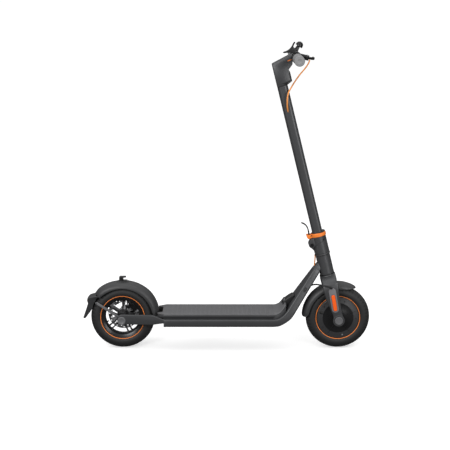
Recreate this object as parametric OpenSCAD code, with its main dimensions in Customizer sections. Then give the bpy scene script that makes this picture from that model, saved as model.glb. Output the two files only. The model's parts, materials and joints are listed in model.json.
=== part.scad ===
// Electric kick scooter with a folding stem, a hub-motor front wheel and a disc-braked rear wheel.
// +X is forwards, +Y is the rider's left, +Z is up, and the ground is z = 0.
// Steering parts are drawn in a leaned-back frame with its origin on the front axle:
// its z axis is the steering axis and its x axis points forwards.

/* [Wheels] */
// Outside diameter of both tyres
tyre_d = 254; // [250:1:256]
// Distance between the two axles
wheelbase = 856; // [850:1:862]

/* [Deck] */
// Height of the standing surface
deck_top = 155.5; // [154.5:0.5:157]
// Height of the underside of the deck
deck_bottom = 102.5; // [102:0.5:103.5]
// Half width of the box under the mat
box_half = 67; // [65:0.5:68]
// Half width over the side rails
rail_half = 78; // [76:0.5:80]

/* [Steering] */
// Backward lean of the steering axis
rake = 14; // [13.8:0.1:14.2]
// Outer radius of the head tube
head_r = 28.5; // [28:0.1:29]
// Half width over the fork legs
fork_half = 70; // [69:0.5:72]

/* [Stem and bar] */
// Fore and aft size of the stem tube
stem_depth = 41.2; // [40:0.1:41.4]
// Sideways size of the stem tube
stem_width = 44; // [43:0.5:45]
// Overall width of the handlebar
bar_width = 480; // [470:1:490]
// Radius of the grips
grip_r = 19.5; // [18:0.1:20]

/* [Hidden] */

$fn = 48;
gap = 0.4;            // between bodies that move past each other
run = 0.05;           // running clearance on a pin or an axle
axle_z = tyre_d / 2;
tail_reach = 159;     // from the rear axle back to the tip of the mud flap
rear_x = (tail_reach - axle_z - wheelbase) / 2;
front_x = rear_x + wheelbase;

charcoal = "#3b3c3e";
black = "#1c1c1d";
grey = "#6a6b6d";
orange = "#f4692c";
silver = "#b9bcc0";

tyre_half = 27;       // half width and crown radius of a tyre
bead_r = 82;          // radius where the tyre meets the rim
axle_r = 6;
arm_in = 62;          // inner and outer faces of the rear arms
arm_out = 75;
leg_in = 55;          // inner face of the fork legs

crown_s = 181;        // heights along the steering axis, from the front axle
head_top_s = 261.4;
base_s = 262;
foot_top_s = 339;
stem_s = 353;
stem_end_s = 945;
hinge_n = -32;        // hinge of the folding stem
hinge_s = 312.5;
steerer_r = 15;
fold_pin_r = 5;
knuckle_r = 13;       // knuckles of that hinge, and half the middle one's width
knuckle_y = 11;
bar_n = 76.2;         // axis of the handlebar
bar_s = 1040.5;
bar_r = 11.1;
clamp_bar_r = 15.9;
control_y = 119;      // where the grips begin

// ---------- helpers ----------

// Places children at a wheel's centre, seen along its axle: local x is +X and local y is +Z
module wheel_at(x)
    translate([x, 0, axle_z]) rotate([90, 0, 0]) children();

// The leaned-back steering frame
module steer()
    translate([front_x, 0, axle_z]) rotate([0, -rake, 0]) children();

// A flat outline in X and Z, extruded from y0 to y1
module side(y0, y1)
    translate([0, y1, 0]) rotate([90, 0, 0]) linear_extrude(y1 - y0) children();

// An outline in Y and Z, extruded from x0 to x1
module front(x0, x1)
    translate([x0, 0, 0]) rotate([90, 0, 90]) linear_extrude(x1 - x0) children();

// A round bar along Y
module ybar(r, y0, y1)
    translate([0, y0, 0]) rotate([-90, 0, 0]) cylinder(r = r, h = y1 - y0);

// A round tube along Y
module ytube(r_out, r_in, y0, y1)
    difference() {
        ybar(r_out, y0, y1);
        ybar(r_in, y0 - 1, y1 + 1);
    }

// A ring along Z
module ring(r_out, r_in, h)
    difference() {
        cylinder(r = r_out, h = h);
        translate([0, 0, -1]) cylinder(r = r_in, h = h + 2);
    }

// A box between two corners
module block(a, b)
    translate(a) cube(b - a);

// A rectangle with true round corners, about its centre
module round_rect(w, h, r) {
    square([w - 2 * r, h], center = true);
    square([w, h - 2 * r], center = true);
    for (i = [-1, 1], j = [-1, 1])
        translate([i * (w / 2 - r), j * (h / 2 - r)]) circle(r);
}

// The same piece on both sides
module both_sides() {
    children();
    mirror([0, 1, 0]) children();
}

function unit(v) = v / norm(v);

// A smooth curve through the points of a route
function curve(p, k) = [
    for (i = [0 : len(p) - 2], j = [0 : k - 1])
        let (a = p[max(i - 1, 0)], b = p[i], c = p[i + 1], d = p[min(i + 2, len(p) - 1)], t = j / k)
        0.5 * (2 * b + (c - a) * t + (2 * a - 5 * b + 4 * c - d) * t * t
               + (3 * b - a - 3 * c + d) * t * t * t),
    p[len(p) - 1]
];

// A round cable of eight sides along a route
module cable(route, r, k = 4) {
    p = curve(route, k);
    n = len(p);
    sides = 8;
    rings = [
        for (i = [0 : n - 1])
            let (
                t = unit(p[min(i + 1, n - 1)] - p[max(i - 1, 0)]),
                u = unit(cross([0.15, 0.35, 1], t)),
                v = cross(t, u)
            )
            for (j = [0 : sides - 1])
                p[i] + r * (cos(360 * j / sides) * u + sin(360 * j / sides) * v)
    ];
    walls = [
        for (i = [0 : n - 2], j = [0 : sides - 1])
            let (a = i * sides + j, b = i * sides + (j + 1) % sides)
            [a, a + sides, b + sides, b]
    ];
    ends = [
        [for (j = [0 : sides - 1]) j],
        [for (j = [sides - 1 : -1 : 0]) (n - 1) * sides + j]
    ];
    polyhedron(points = rings, faces = concat(walls, ends));
}

// ---------- deck, neck and rear end ----------

deck_x0 = -247;
deck_x1 = 186;
mat_t = 4;
mat_half = 74.5;     // half width of the standing surface
rail_h = 31;

module deck_tray() color(charcoal) {
    lid_z = deck_top - mat_t;
    difference() {
        block([deck_x0, -box_half, deck_bottom], [deck_x1, box_half, lid_z]);
        block([deck_x0 + 5, -box_half + 4, deck_bottom - 1], [deck_x1 - 5, box_half - 4, lid_z - 4]);
    }
    both_sides()
        front(deck_x0, deck_x1)
            translate([(box_half + rail_half) / 2, deck_bottom + rail_h / 2])
                round_rect(rail_half - box_half + 0.02, rail_h, 5.4);
    // lip under the edge of the mat, leaving a groove above the rail
    both_sides()
        front(deck_x0, deck_x1)
            polygon([
                [box_half - 1, lid_z - 16], [mat_half - 0.5, lid_z - 6], [mat_half - 0.5, lid_z],
                [box_half - 1, lid_z]
            ]);
    // tail wings beside the rear fender
    both_sides()
        translate([0, 0, lid_z - 14]) linear_extrude(14)
            polygon([[deck_x0, 44], [-272, 44], [-272, 52], [deck_x0, box_half]]);
    // closed box between the wings, ahead of the wheel
    block([-278, -44, 116], [deck_x0 + 1, 44, 138]);
    // ramp under the raised front end of the mat
    side(-68, 68)
        polygon([
            [deck_x1, lid_z - 20], [deck_x1, lid_z], [202, lid_z + 2], [216, lid_z + 9], [224, lid_z - 10]
        ]);
    side(-60, 60)
        polygon([
            [210, lid_z], [216, lid_z + 9], [236, lid_z + 34], [250, lid_z + 40], [250, lid_z + 10],
            [224, lid_z - 10]
        ]);
}

// Stations of the neck: centre x and z, radius, half width
neck = [
    [184, 118, 15.5, 77.5], [206, 120.5, 15.5, 77], [226, 130.8, 15.6, 75], [245, 146.6, 16.6, 71],
    [265.5, 176.4, 16.4, 65], [353.5, 315, 14.4, 30], [368, 340, 15.5, 26]
];

module neck_station(i)
    translate([neck[i][0], 0, neck[i][1]]) ybar(neck[i][2], -neck[i][3], neck[i][3], $fn = 32);

module neck_tube() color(charcoal)
    difference() {
        for (i = [0 : len(neck) - 2])
            hull() {
                neck_station(i);
                neck_station(i + 1);
            }
        steer() translate([0, 0, crown_s]) cylinder(r = head_r, h = 120);
        block([100, -100, 90], [deck_x1, 100, 140]);
    }

module head_tube() color(charcoal)
    steer() translate([0, 0, crown_s + 0.6]) difference() {
        cylinder(r = head_r, h = head_top_s - crown_s - 0.6);
        translate([0, 0, -1]) cylinder(r = 20, h = 100);
        for (z = [-1, head_top_s - crown_s - 0.6 - 10])
            translate([0, 0, z]) cylinder(r = 24, h = 11);
    }

module headset_bearings() color(silver)
    steer() for (z = [crown_s + 0.6, head_top_s - 10])
        translate([0, 0, z]) ring(24, steerer_r + run, 10);

module deck_mat() color(grey) {
    lid_z = deck_top - mat_t;
    translate([0, 0, lid_z]) linear_extrude(mat_t)
        polygon([
            [deck_x1, -mat_half], [deck_x1, mat_half], [-238, mat_half], [-271, 54], [-271, 45],
            [-252, 38], [-252, -38], [-271, -45], [-271, -54], [-238, -mat_half]
        ]);
    side(-71, 71)
        polygon([
            [deck_x1, lid_z], [deck_x1, deck_top], [201, deck_top + 2], [213, lid_z + 12],
            [216, lid_z + 9], [202, lid_z + 2]
        ]);
    side(-62, 62)
        polygon([
            [213, lid_z + 12], [233, lid_z + 37], [236, lid_z + 34], [216, lid_z + 9]
        ]);
}

module bottom_cover() color(black)
    block([deck_x0 + 6, -box_half + 5, deck_bottom], [deck_x1 - 6, box_half - 5, deck_bottom + 4]);

module battery_pack() color("#2f5d8a")
    block([-215, -54, deck_bottom + 5], [58, 54, deck_top - 14]);

module controller() color(silver) {
    block([76, -45, deck_bottom + 5], [168, 45, deck_top - 26]);
    for (i = [0 : 7])
        block([80 + 11 * i, -40, deck_top - 26], [84 + 11 * i, 40, deck_top - 18]);
}

screw_r = 3.4;
module deck_screws() color(silver)
    for (x = [-225, -120, 0, 90, 165], y = [-55, 55])
        translate([x, y, deck_bottom - 1.2]) cylinder(r = screw_r, h = 1.2);

// The charging port faces backwards and up
module at_port()
    translate([227.5, 0, 191]) rotate([0, -63.4, 0]) children();

module charge_housing() color(black) {
    difference() {
        side(-24, 24)
            polygon([
                [224, 158], [224, 184], [231, 198], [248, 211], [262, 220], [272, 218], [262, 186], [248, 160]
            ]);
        at_port() translate([0, 0, -4]) cylinder(r = 8, h = 20);
    }
    cap_lugs();
}

cap_x = 12.5;       // hinge of the port's cap, along and above the port's face
cap_z = 1.9;
cap_pin_r = 0.8;
module cap_lugs()
    at_port() {
        both_sides() block([cap_x - 1.6, 4.2, -4], [cap_x + 1.6, 6, cap_z + 1.4]);
        translate([cap_x, 0, cap_z]) ybar(cap_pin_r, -6, 6);
    }

module charge_cap() color(grey)
    at_port() difference() {
        union() {
            translate([0, 0, gap]) cylinder(r = 10.6, h = 3);
            block([8, -3.8, gap + 0.4], [cap_x, 3.8, 3]);
            translate([cap_x, 0, cap_z]) ybar(1.5, -3.8, 3.8);
        }
        translate([cap_x, 0, cap_z]) ybar(cap_pin_r + run, -10, 10);
    }

module rear_arm(y0, y1) color(charcoal)
    side(y0, y1)
        difference() {
            union() {
                translate([rear_x + 3, axle_z + 6]) circle(20);
                polygon([
                    [rear_x + 3, axle_z - 14], [-285, 112], [-252, 117], [deck_x0, 117],
                    [deck_x0, 134.5], [-290, 150], [rear_x + 3, axle_z + 26]
                ]);
            }
            translate([rear_x, axle_z]) circle(axle_r);
        }
module rear_arm_left() rear_arm(arm_in, arm_out);
module rear_arm_right() rear_arm(-arm_out, -arm_in);

// Half section of a mudguard, as radius and half width
module guard_section(r, w, skirt_r) {
    t = 2.6;
    half_out = [[r, 0], [r - 2.4, w - 20], [r - 6.8, w - 10], [r - 11, w - 6], [r - 18, w - 2], [skirt_r, w]];
    half_in = [
        [r - t, 0], [r - 2.4 - t, w - 20.6], [r - 9, w - 11.4], [r - 12.9, w - 7.8], [r - 18.6, w - 2 - t],
        [skirt_r - 1, w - t]
    ];
    for (flip = [1, -1])
        polygon([
            for (p = half_out) [p[0], flip * p[1]],
            for (i = [len(half_in) - 1 : -1 : 0]) [half_in[i][0], flip * half_in[i][1]]
        ]);
}

fender_r = 146;
fender_half = 40;
module rear_fender() color(charcoal) {
    wheel_at(rear_x) rotate([0, 0, 7])
        rotate_extrude(angle = 128, $fn = 96) guard_section(fender_r, fender_half, 121);
    // tail and mud flap behind the wheel
    difference() {
        intersection() {
            side(-36, 36)
                polygon([
                    [rear_x - 104, axle_z + 99], [rear_x - 112, axle_z + 88.5], [-544, 210], [-549, 205],
                    [-551, 197], [-551, 191], [-548.5, 187], [-555, 165], [rear_x - tail_reach, 123],
                    [rear_x - tail_reach + 3, 120.5], [-562, 129], [-550, 145], [-537, 161], [-530, 183],
                    [rear_x - 97, axle_z + 84]
                ]);
            // narrows towards the tip
            front(-600, -480)
                polygon([
                    [-36, 250], [-36, 216], [-28, 207], [-26, 186], [-14, 122], [-11, 115], [11, 115],
                    [14, 122], [26, 186], [28, 207], [36, 216], [36, 250]
                ]);
        }
        translate([rear_x, 0, axle_z]) ybar(133, -31, 31, $fn = 96);
        block([-560, -19.5, 190], [-546, 19.5, 202]);
    }
}

module tail_light() color("#b01818")
    block([-549.5, -19, 190.5], [-546, 19, 201.5]);

stay_x = -513;        // where the stays meet the tail
stay_z = 193;
module fender_stays() color(grey)
    both_sides() difference() {
        side(42, 45) difference() {
            union() {
                polygon([
                    [rear_x + 2.8, axle_z + 3.6], [stay_x + 2.8, stay_z + 4.1], [stay_x - 2.8, stay_z - 4.1],
                    [rear_x - 2.8, axle_z - 4.6]
                ]);
                translate([rear_x, axle_z]) circle(10.5);
                translate([stay_x, stay_z]) circle(5);
            }
            translate([rear_x, axle_z]) circle(axle_r);
        }
        translate([stay_x, 0, stay_z]) ybar(2.2, 41, 46);
    }

hook_x = rear_x - 4;
module fender_hook() color(charcoal) {
    side(-9, 9) polygon([
        [hook_x - 7, axle_z + 145], [hook_x - 9, 290.5], [hook_x + 19, 291], [hook_x + 19, 286.5],
        [hook_x + 7, 286.5], [hook_x + 9, axle_z + 145]
    ]);
    side(-16, 16) polygon([
        [hook_x - 22, axle_z + 143.6], [hook_x - 10, axle_z + 147.5], [hook_x + 14, axle_z + 147.5],
        [hook_x + 26, axle_z + 143.6]
    ]);
}

module rear_axle() color(silver)
    translate([rear_x, 0, axle_z]) {
        ybar(axle_r, -arm_out - 1.5, arm_out + 1.5);
        both_sides() ytube(9.5, axle_r, 45, arm_in);
    }

module rear_axle_caps() color(grey)
    translate([rear_x, 0, axle_z + 1.5]) both_sides() difference() {
        ybar(16.5, arm_out, arm_out + 4.5);
        translate([0, 0, -1.5]) ybar(axle_r, arm_out - 1, arm_out + 1.5);
    }

rotor_y = 37.5;
rotor_r = 62;
caliper_turn = 40;     // place of the caliper round the axle
module at_caliper()
    translate([rear_x, 0, axle_z]) rotate([0, -caliper_turn, 0]) children();

module brake_caliper() color(black) {
    at_caliper() difference() {
        union() {
            block([38, 27, -19], [68, 56, 19]);
            translate([56, 0, 0]) ybar(13, 26, 57);
            block([58, 54, -19], [68, 60.5, -11]);
        }
        block([30, 32.8, -30], [rotor_r + 0.7, 42.2, 30]);
        translate([58, 0, 0]) ybar(4 + run, 50, 70);
    }
    // foot bolted to the left arm
    side(50, arm_in)
        polygon([[-394, 142], [-377, 142], [-376, 158], [-392, 158]]);
}

module brake_pads() color("#8a5a3a")
    at_caliper() for (y = [32.8, 38.9])
        block([44, y, -11], [57.5, y + (y < rotor_y ? rotor_y - 1.4 - y : 42.2 - y), 11]);

module caliper_arm() color(silver)
    at_caliper() {
        translate([58, 0, 0]) {
            ybar(4, 51, 57);
            ybar(7, 57 + gap, 60.4);
            side(57 + gap, 60.4) polygon([[-1, 7], [3, -7], [28, 3], [26, 11]]);
            translate([27, 0, 7]) ybar(4.5, 57 + gap, 60.4);
        }
    }

rear_cable_route = [
    [-246, 50, 126], [-268, 51, 127], [-298, 52, 131], [-326, 54, 137], [-343, 56, 143],
    [-351, 57, 149], [-353, 57, 154]
];
module rear_brake_cable() color(orange)
    cable(rear_cable_route, 2);

// ---------- kickstand on the left ----------

stand_x = -32;
stand_y = 87;
stand_z = 110;
stand_tilt = 14.7;
stand_len = 104;
module kickstand_bracket() color(black) {
    block([stand_x - 22, 60, deck_bottom - 6], [stand_x + 22, 79, deck_bottom]);
    translate([stand_x, stand_y, stand_z]) rotate([stand_tilt, 0, 0]) {
        ybar(8.5, -12, -5 - gap);
        ybar(4, -12, 5.5);
    }
    block([stand_x - 9, 70, deck_bottom - 6], [stand_x + 9, 79.6, deck_bottom + 4]);
}

module kickstand_leg() color(black)
    translate([stand_x, stand_y, stand_z]) rotate([stand_tilt, 0, 0]) {
        ytube(9.5, 4 + run, -5, 5);
        difference() {
            rotate([0, -90, 0]) cylinder(r1 = 5, r2 = 5, h = stand_len);
            ybar(4 + run, -10, 10);
        }
        translate([-stand_len, 0, 0]) sphere(7);
    }

// ---------- wheels ----------

module tyre(x) color(black)
    wheel_at(x) rotate_extrude($fn = 96) difference() {
        translate([axle_z - tyre_half, 0]) circle(tyre_half);
        translate([axle_z - tyre_half - 1, 0]) circle(tyre_half - 6);
        translate([0, -50]) square([bead_r, 100]);
    }
module rear_tyre() tyre(rear_x);
module front_tyre() tyre(front_x);

rim_in = 69;
spoke_turn = 78.5;
module rear_rim() color(black)
    wheel_at(rear_x) {
        rotate_extrude($fn = 96) polygon([
            [rim_in, -16], [bead_r - 1, -20], [bead_r, -20], [bead_r, 20], [bead_r - 1, 20], [rim_in, 16]
        ]);
        difference() {
            union() {
                translate([0, 0, -30]) cylinder(r = 22, h = 60);
                translate([0, 0, -36.5]) cylinder(r = 18, h = 10);
                for (k = [0 : 4], j = [-1, 1])
                    rotate([0, 0, spoke_turn + 72 * k])
                        translate([0, j * 7 - 2.7, -9]) cube([rim_in + 2, 5.4, 18]);
            }
            translate([0, 0, -40]) cylinder(r = 10, h = 80);
            for (z = [-28, 18]) translate([0, 0, z]) cylinder(r = 16, h = 10);
            translate([0, 0, 27]) cylinder(r = 16, h = 10);
            translate([0, 0, -37]) cylinder(r = 16, h = 10);
        }
    }

module bearing_pair(x, y, bore, r_out) color(silver)
    translate([x, 0, axle_z]) both_sides()
        ytube(r_out, bore + run, y, y + 10);
module rear_bearings() bearing_pair(rear_x, 18, axle_r, 16);
module front_bearings() bearing_pair(front_x, 17, axle_r, 16);

module brake_rotor() color(silver)
    translate([rear_x, 0, axle_z]) difference() {
        ybar(rotor_r, rotor_y - 1, rotor_y + 1, $fn = 96);
        ybar(16, 30, 45);
        for (k = [0 : 11]) rotate([0, 30 * k, 0]) {
            translate([57, 0, 0]) ybar(2.2, 30, 45);
            rotate([0, 12, 0]) translate([51, 0, 0]) ybar(2.2, 30, 45);
        }
        for (k = [0 : 5]) rotate([0, 60 * k, 0])
            side(30, 45) polygon([[26, -8], [45, -17], [45, 17], [26, 8]]);
    }

module motor_shell() color(black)
    wheel_at(front_x) difference() {
        union() {
            translate([0, 0, -24]) cylinder(r = bead_r, h = 48, $fn = 96);
            translate([0, 0, -30]) cylinder(r = 60, h = 8);
        }
        translate([0, 0, -20]) cylinder(r = 68, h = 60);
        translate([0, 0, -40]) cylinder(r = 12, h = 80);
        translate([0, 0, -27]) cylinder(r = 16, h = 10);
    }

module hub_cover() color(charcoal)
    wheel_at(front_x) difference() {
        union() {
            translate([0, 0, 24]) cylinder(r = bead_r, h = 3, $fn = 96);
            translate([0, 0, 17]) cylinder(r = 20, h = 8);
            translate([0, 0, 27]) cylinder(r1 = 78, r2 = 62, h = 3, $fn = 96);
            translate([0, 0, 30]) cylinder(r = 30, h = 2);
            for (k = [0 : 4]) rotate([0, 0, 22 + 72 * k])
                translate([28, -1.6, 29]) cube([34, 3.2, 3]);
        }
        translate([0, 0, 10]) cylinder(r = 12, h = 40);
        translate([0, 0, 16.9]) cylinder(r = 16, h = 10.1);
    }

module motor_stator() color("#b87333")
    translate([front_x, 0, axle_z]) {
        difference() {
            union() {
                ytube(48, axle_r, -12, 12);
                for (k = [0 : 11]) rotate([0, 30 * k, 0])
                    block([40, -13, -6], [65, 13, 6]);
            }
            for (k = [0 : 3]) rotate([0, 90 * k + 45, 0])
                translate([28, 0, 0]) ybar(7, -20, 20);
        }
    }

module front_axle() color(silver)
    translate([front_x, 0, axle_z]) {
        ybar(axle_r, -fork_half - 1.5, fork_half + 1.5);
        both_sides() ytube(9.5, axle_r, 34, leg_in);
    }

module front_axle_caps() color(grey)
    translate([front_x, 0, axle_z + 2.5]) both_sides() difference() {
        ybar(16, fork_half, fork_half + 4);
        translate([0, 0, -2.5]) ybar(axle_r, fork_half - 1, fork_half + 1.5);
    }

// ---------- fork and folding joint ----------

module fork_front_outline() {
    difference() {
        polygon([
            [-31, crown_s], [-50, 168], [-65, 148], [-fork_half, 130], [-fork_half, -22],
            [fork_half, -22], [fork_half, 130], [65, 148], [50, 168], [31, crown_s]
        ]);
        polygon([
            [-leg_in, -30], [-leg_in, 122], [-47, 138], [-32, 147], [32, 147], [47, 138],
            [leg_in, 122], [leg_in, -30]
        ]);
    }
}

module fork_side_outline() {
    circle(22);
    polygon([
        [-17, 15], [-29, 92], [-31, 150], [-31, crown_s], [31, crown_s], [29, 150], [23.5, 90], [19, 15]
    ]);
}

module fork() color(charcoal)
    steer() {
        difference() {
            intersection() {
                front(-60, 60) fork_front_outline();
                side(-80, 80) fork_side_outline();
            }
            ybar(axle_r, -80, 80);
            both_sides() side(fork_half - 2, fork_half + 1) pill_outline(14.2, 36, 136);
        }
        translate([0, 0, crown_s]) cylinder(r = steerer_r, h = base_s - crown_s + 8);
    }

// Slot shape from s0 up to s1 on the leg's outer face, leaning a little further forwards than the leg
pill_lean = 3.6;
module pill_outline(r, s0, s1)
    translate([-1, 80]) rotate(-pill_lean) translate([0, -80]) {
        for (s = [s0 + r, s1 - r]) translate([0, s]) circle(r);
        translate([-r, s0 + r]) square([2 * r, s1 - s0 - 2 * r]);
    }

module fork_covers() color(grey)
    steer() both_sides() {
        side(fork_half - 2, fork_half + 0.6) difference() {
            pill_outline(14.2, 36, 136);
            pill_outline(7.5, 42, 109);
        }
    }

module fork_reflectors() color(orange)
    steer() both_sides() side(fork_half - 2, fork_half + 1.2) pill_outline(7.5, 42, 109);

module front_fender() color(charcoal) {
    wheel_at(front_x) difference() {
        rotate([0, 0, 59])
            rotate_extrude(angle = 119, $fn = 96) guard_section(143.5, 36, 117);
        // the front end's lower edge runs level
        translate([0, 0, -50]) linear_extrude(100) polygon([[20, 80], [20, 119], [80, 119], [110, 80]]);
    }
    steer() block([-18, -18, 144], [18, 18, 147]);
}

module below_seam(shift)
    // everything under the sloping seam of the folding joint
    side(-60, 60)
        polygon([
            [-60, 200], [60, 200], [60, 338.7 + shift], [-24.5, 302.4 + shift], [-60, 302.4 + shift]
        ]);

module folding_base() color(charcoal)
    steer() difference() {
        union() {
            intersection() {
                translate([0, 0, base_s]) cylinder(r = 29.8, h = 70);
                below_seam(-0.25);
            }
            // middle knuckle
            translate([hinge_n, 0, hinge_s]) ybar(knuckle_r, -knuckle_y, knuckle_y);
            side(-knuckle_y, knuckle_y) polygon([
                [hinge_n - 12, hinge_s - 4], [hinge_n - 2, hinge_s - 30], [-20, hinge_s - 30],
                [-20, hinge_s - 10.5], [hinge_n, hinge_s - 4]
            ]);
            translate([0, 0, base_s]) cylinder(r = 31, h = 8);
        }
        translate([hinge_n, 0, hinge_s]) {
            ybar(fold_pin_r, -20, 20);
            both_sides() ybar(knuckle_r + gap, knuckle_y, 24);
        }
        translate([0, 0, base_s - 1]) cylinder(r = steerer_r, h = 9);
        // way out for the brake cable
        block([-45, 5.5, base_s - 1], [-22, 14.5, base_s + 9.5]);
    }

module hinge_pin() color(silver)
    steer() translate([hinge_n, 0, hinge_s]) {
        ybar(fold_pin_r, -24, 24);
        both_sides() ybar(6.5, 23.6, 25.4);
    }

module stem_foot() color(charcoal)
    steer() difference() {
        union() {
            difference() {
                translate([0, 0, 280]) cylinder(r = 29.8, h = foot_top_s - 280);
                below_seam(0.25);
            }
            both_sides() {
                translate([hinge_n, 0, hinge_s]) ybar(knuckle_r, knuckle_y + gap, 23);
                side(knuckle_y + gap, 23) polygon([
                    [hinge_n - 12.5, hinge_s + 2], [hinge_n - 4, hinge_s + 22], [-20, foot_top_s - 2],
                    [-20, hinge_s], [hinge_n, hinge_s]
                ]);
            }
        }
        // room for the middle knuckle through the whole fold
        translate([hinge_n, 0, hinge_s]) {
            ybar(knuckle_r + gap, -knuckle_y - gap, knuckle_y + gap);
            ybar(fold_pin_r + run, -30, 30);
        }
    }

module stem_outline()
    round_rect(stem_depth, stem_width, 14);

module stem_tube() color(charcoal)
    steer() translate([0, 0, foot_top_s]) difference() {
        linear_extrude(stem_end_s - foot_top_s) stem_outline();
        translate([0, 0, -1]) linear_extrude(stem_end_s - foot_top_s + 2)
            round_rect(stem_depth - 6, stem_width - 6, 11);
    }

lever_n = -36.5;    // pivot of the quick-release lever
lever_s = 346;

module lock_collar() color(orange)
    steer() translate([0, 0, foot_top_s]) difference() {
        union() {
            translate([1.5, 0, 0]) cylinder(r = 31, h = stem_s - foot_top_s - 1);
            cylinder(r = 28, h = stem_s - foot_top_s + 1);
            // rear lugs on both sides of the lever
            translate([0, 0, -foot_top_s]) for (y = [-15, 9])
                side(y, y + 6) polygon([
                    [-44.5, 354], [-44.5, 344], [-42, 338.5], [-37.5, 336.6], [-33, 337.4], [-20, 341],
                    [-20, 351], [-34, 353]
                ]);
            translate([lever_n, 0, lever_s - foot_top_s]) ybar(2, -13, 13);
        }
        translate([0, 0, -1]) linear_extrude(40) stem_outline();
    }

module fold_lever() color(black)
    steer() difference() {
        union() {
            translate([lever_n, 0, lever_s]) ybar(4.2, -9 + gap, 9 - gap);
            side(-9 + gap, 9 - gap) polygon([
                [-40, lever_s], [-36, 356], [-34.6, 372], [-37, 386], [-42.5, 396], [-53.5, 404.5],
                [-52.5, 407.5], [-40, 399.5], [-33.5, 388.5], [-30.6, 373], [-30.6, 358], [-33, lever_s]
            ]);
        }
        translate([lever_n, 0, lever_s]) ybar(2 + run, -10, 10);
    }

// ---------- head, bar and controls ----------

face_turn = 13.9;        // slope of the dashboard against the steering frame
module on_face()
    translate([-19.6, 0, 1036.5]) rotate([0, -face_turn, 0]) children();

module stem_head() color(charcoal)
    steer() difference() {
        union() {
            side(-23.5, 23.5) polygon([
                [-20.3, stem_end_s], [-20.3, 1034], [-18, 1036.6], [54, 1055], [62, 1056], [62, 1022],
                [55.8, 1016.7], [37.6, 1001.7], [39.6, 993], [40.4, 954.6], [37, 949.3], [20, stem_end_s]
            ]);
            translate([bar_n, 0, bar_s]) ybar(20, -23.5, 23.5);
        }
        translate([bar_n, 0, bar_s]) ybar(clamp_bar_r, -40, 40);
        on_face() {
            block([2, -19, -5], [60, 19, 5]);
            translate([12, 0, -10]) cylinder(r = 6.4, h = 10);
        }
        block([32, -17, 957], [50, 17, 990]);
    }

module dashboard() color(black)
    steer() on_face() difference() {
        block([2, -19, -5], [60, 19, -0.4]);
        translate([12, 0, -9]) cylinder(r = 6.4, h = 12);
    }

module power_button() color(grey)
    steer() on_face() translate([12, 0, -7.6]) cylinder(r = 6, h = 8);

module headlight() color("#e8eef2")
    steer() block([32, -17, 957], [39.4, 17, 990]);

module at_bar()
    steer() translate([bar_n, 0, bar_s]) children();

module handlebar() color(charcoal)
    at_bar() difference() {
        union() {
            ybar(clamp_bar_r, -62, 62);
            ybar(bar_r, -bar_width / 2 + 4, bar_width / 2 - 4);
        }
        ybar(bar_r - 2.2, -bar_width, bar_width);
    }

module grips() color(grey)
    at_bar() both_sides() {
        ytube(grip_r, bar_r, control_y + 2, bar_width / 2 - 4);
        ybar(grip_r - 0.6, bar_width / 2 - 4, bar_width / 2);
    }

pivot_f = 50;       // brake lever pivot, ahead of the bar
lever_drop = 13.4;  // the lever's plane slopes down forwards
module at_lever()
    translate([front_x + bar_n * cos(rake) - bar_s * sin(rake), 0,
               axle_z + bar_n * sin(rake) + bar_s * cos(rake)])
        rotate([0, lever_drop, 0]) children();

module bar_clamps() color(black) {
    // throttle housing on the right
    at_bar() ytube(20.5, bar_r, -control_y, -100);
    // brake perch on the left
    at_lever() difference() {
        union() {
            ybar(17, 101, control_y);
            block([8, 101, -10], [pivot_f, control_y, 10]);
            translate([pivot_f, 110, -10]) cylinder(r = 9, h = 20);
            translate([pivot_f + 2, 104, 0]) rotate([90, 0, 30]) cylinder(r = 4.5, h = 14);
        }
        ybar(bar_r, 90, 130);
        translate([pivot_f, 110, -20]) cylinder(r = 3 + run, h = 40);
        block([pivot_f - 12, 102.5, -5], [pivot_f + 30, 140, 5]);
    }
}

module brake_lever() color(black)
    at_lever() translate([pivot_f, 110, 0]) {
        cylinder(r = 3, h = 18, center = true);
        translate([0, 0, -4.6]) linear_extrude(9.2) {
            circle(7);
            polygon([
                [5, -5], [18, 8], [31, 30], [36.5, 60], [35.5, 96], [32, 98], [28, 95], [27.5, 60], [21, 34],
                [4, 12], [-5, 4]
            ]);
            translate([32, 95]) circle(4);
        }
    }

// Level frame on the handlebar's axis: x forwards, z up
module level_bar()
    at_bar() rotate([0, rake, 0]) children();

module throttle_paddle() color(black)
    level_bar() {
        ytube(19.5, bar_r + run, -99.6, -84);
        side(-99, -86) polygon([
            [-8, 15], [-30, 22], [-53, 20.5], [-55, 22.5], [-53, 24.5], [-37, 33.5], [-26, 42], [-20, 46],
            [-14, 43], [-7, 30], [-3, 19]
        ]);
    }

bell_y = 88;
striker_x = -9;
striker_z = 29;
module bell() color(black)
    level_bar() translate([0, bell_y, 0]) {
        ytube(16, bar_r, -7, 7);
        block([-4, -6, 12], [12, 6, 32]);
        both_sides() block([-13, 3.4, 12], [-3, 6, 33]);
        translate([striker_x, 0, striker_z]) ybar(1.5, -5, 5);
        translate([18, 0, 38.7]) rotate([0, 35, 0]) difference() {
            sphere(14.3);
            translate([0, 0, -26]) cylinder(r = 20, h = 20);
        }
    }

module bell_striker() color(silver)
    level_bar() translate([0, bell_y, 0]) difference() {
        union() {
            translate([striker_x, 0, striker_z]) ybar(3, -3, 3);
            side(-3, 3) polygon([
                [-12, 29], [-6, 29], [-5, 34], [-3.5, 40], [1, 49], [-1, 51], [-6, 44], [-10, 36]
            ]);
        }
        translate([striker_x, 0, striker_z]) ybar(1.5 + run, -10, 10);
    }

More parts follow.
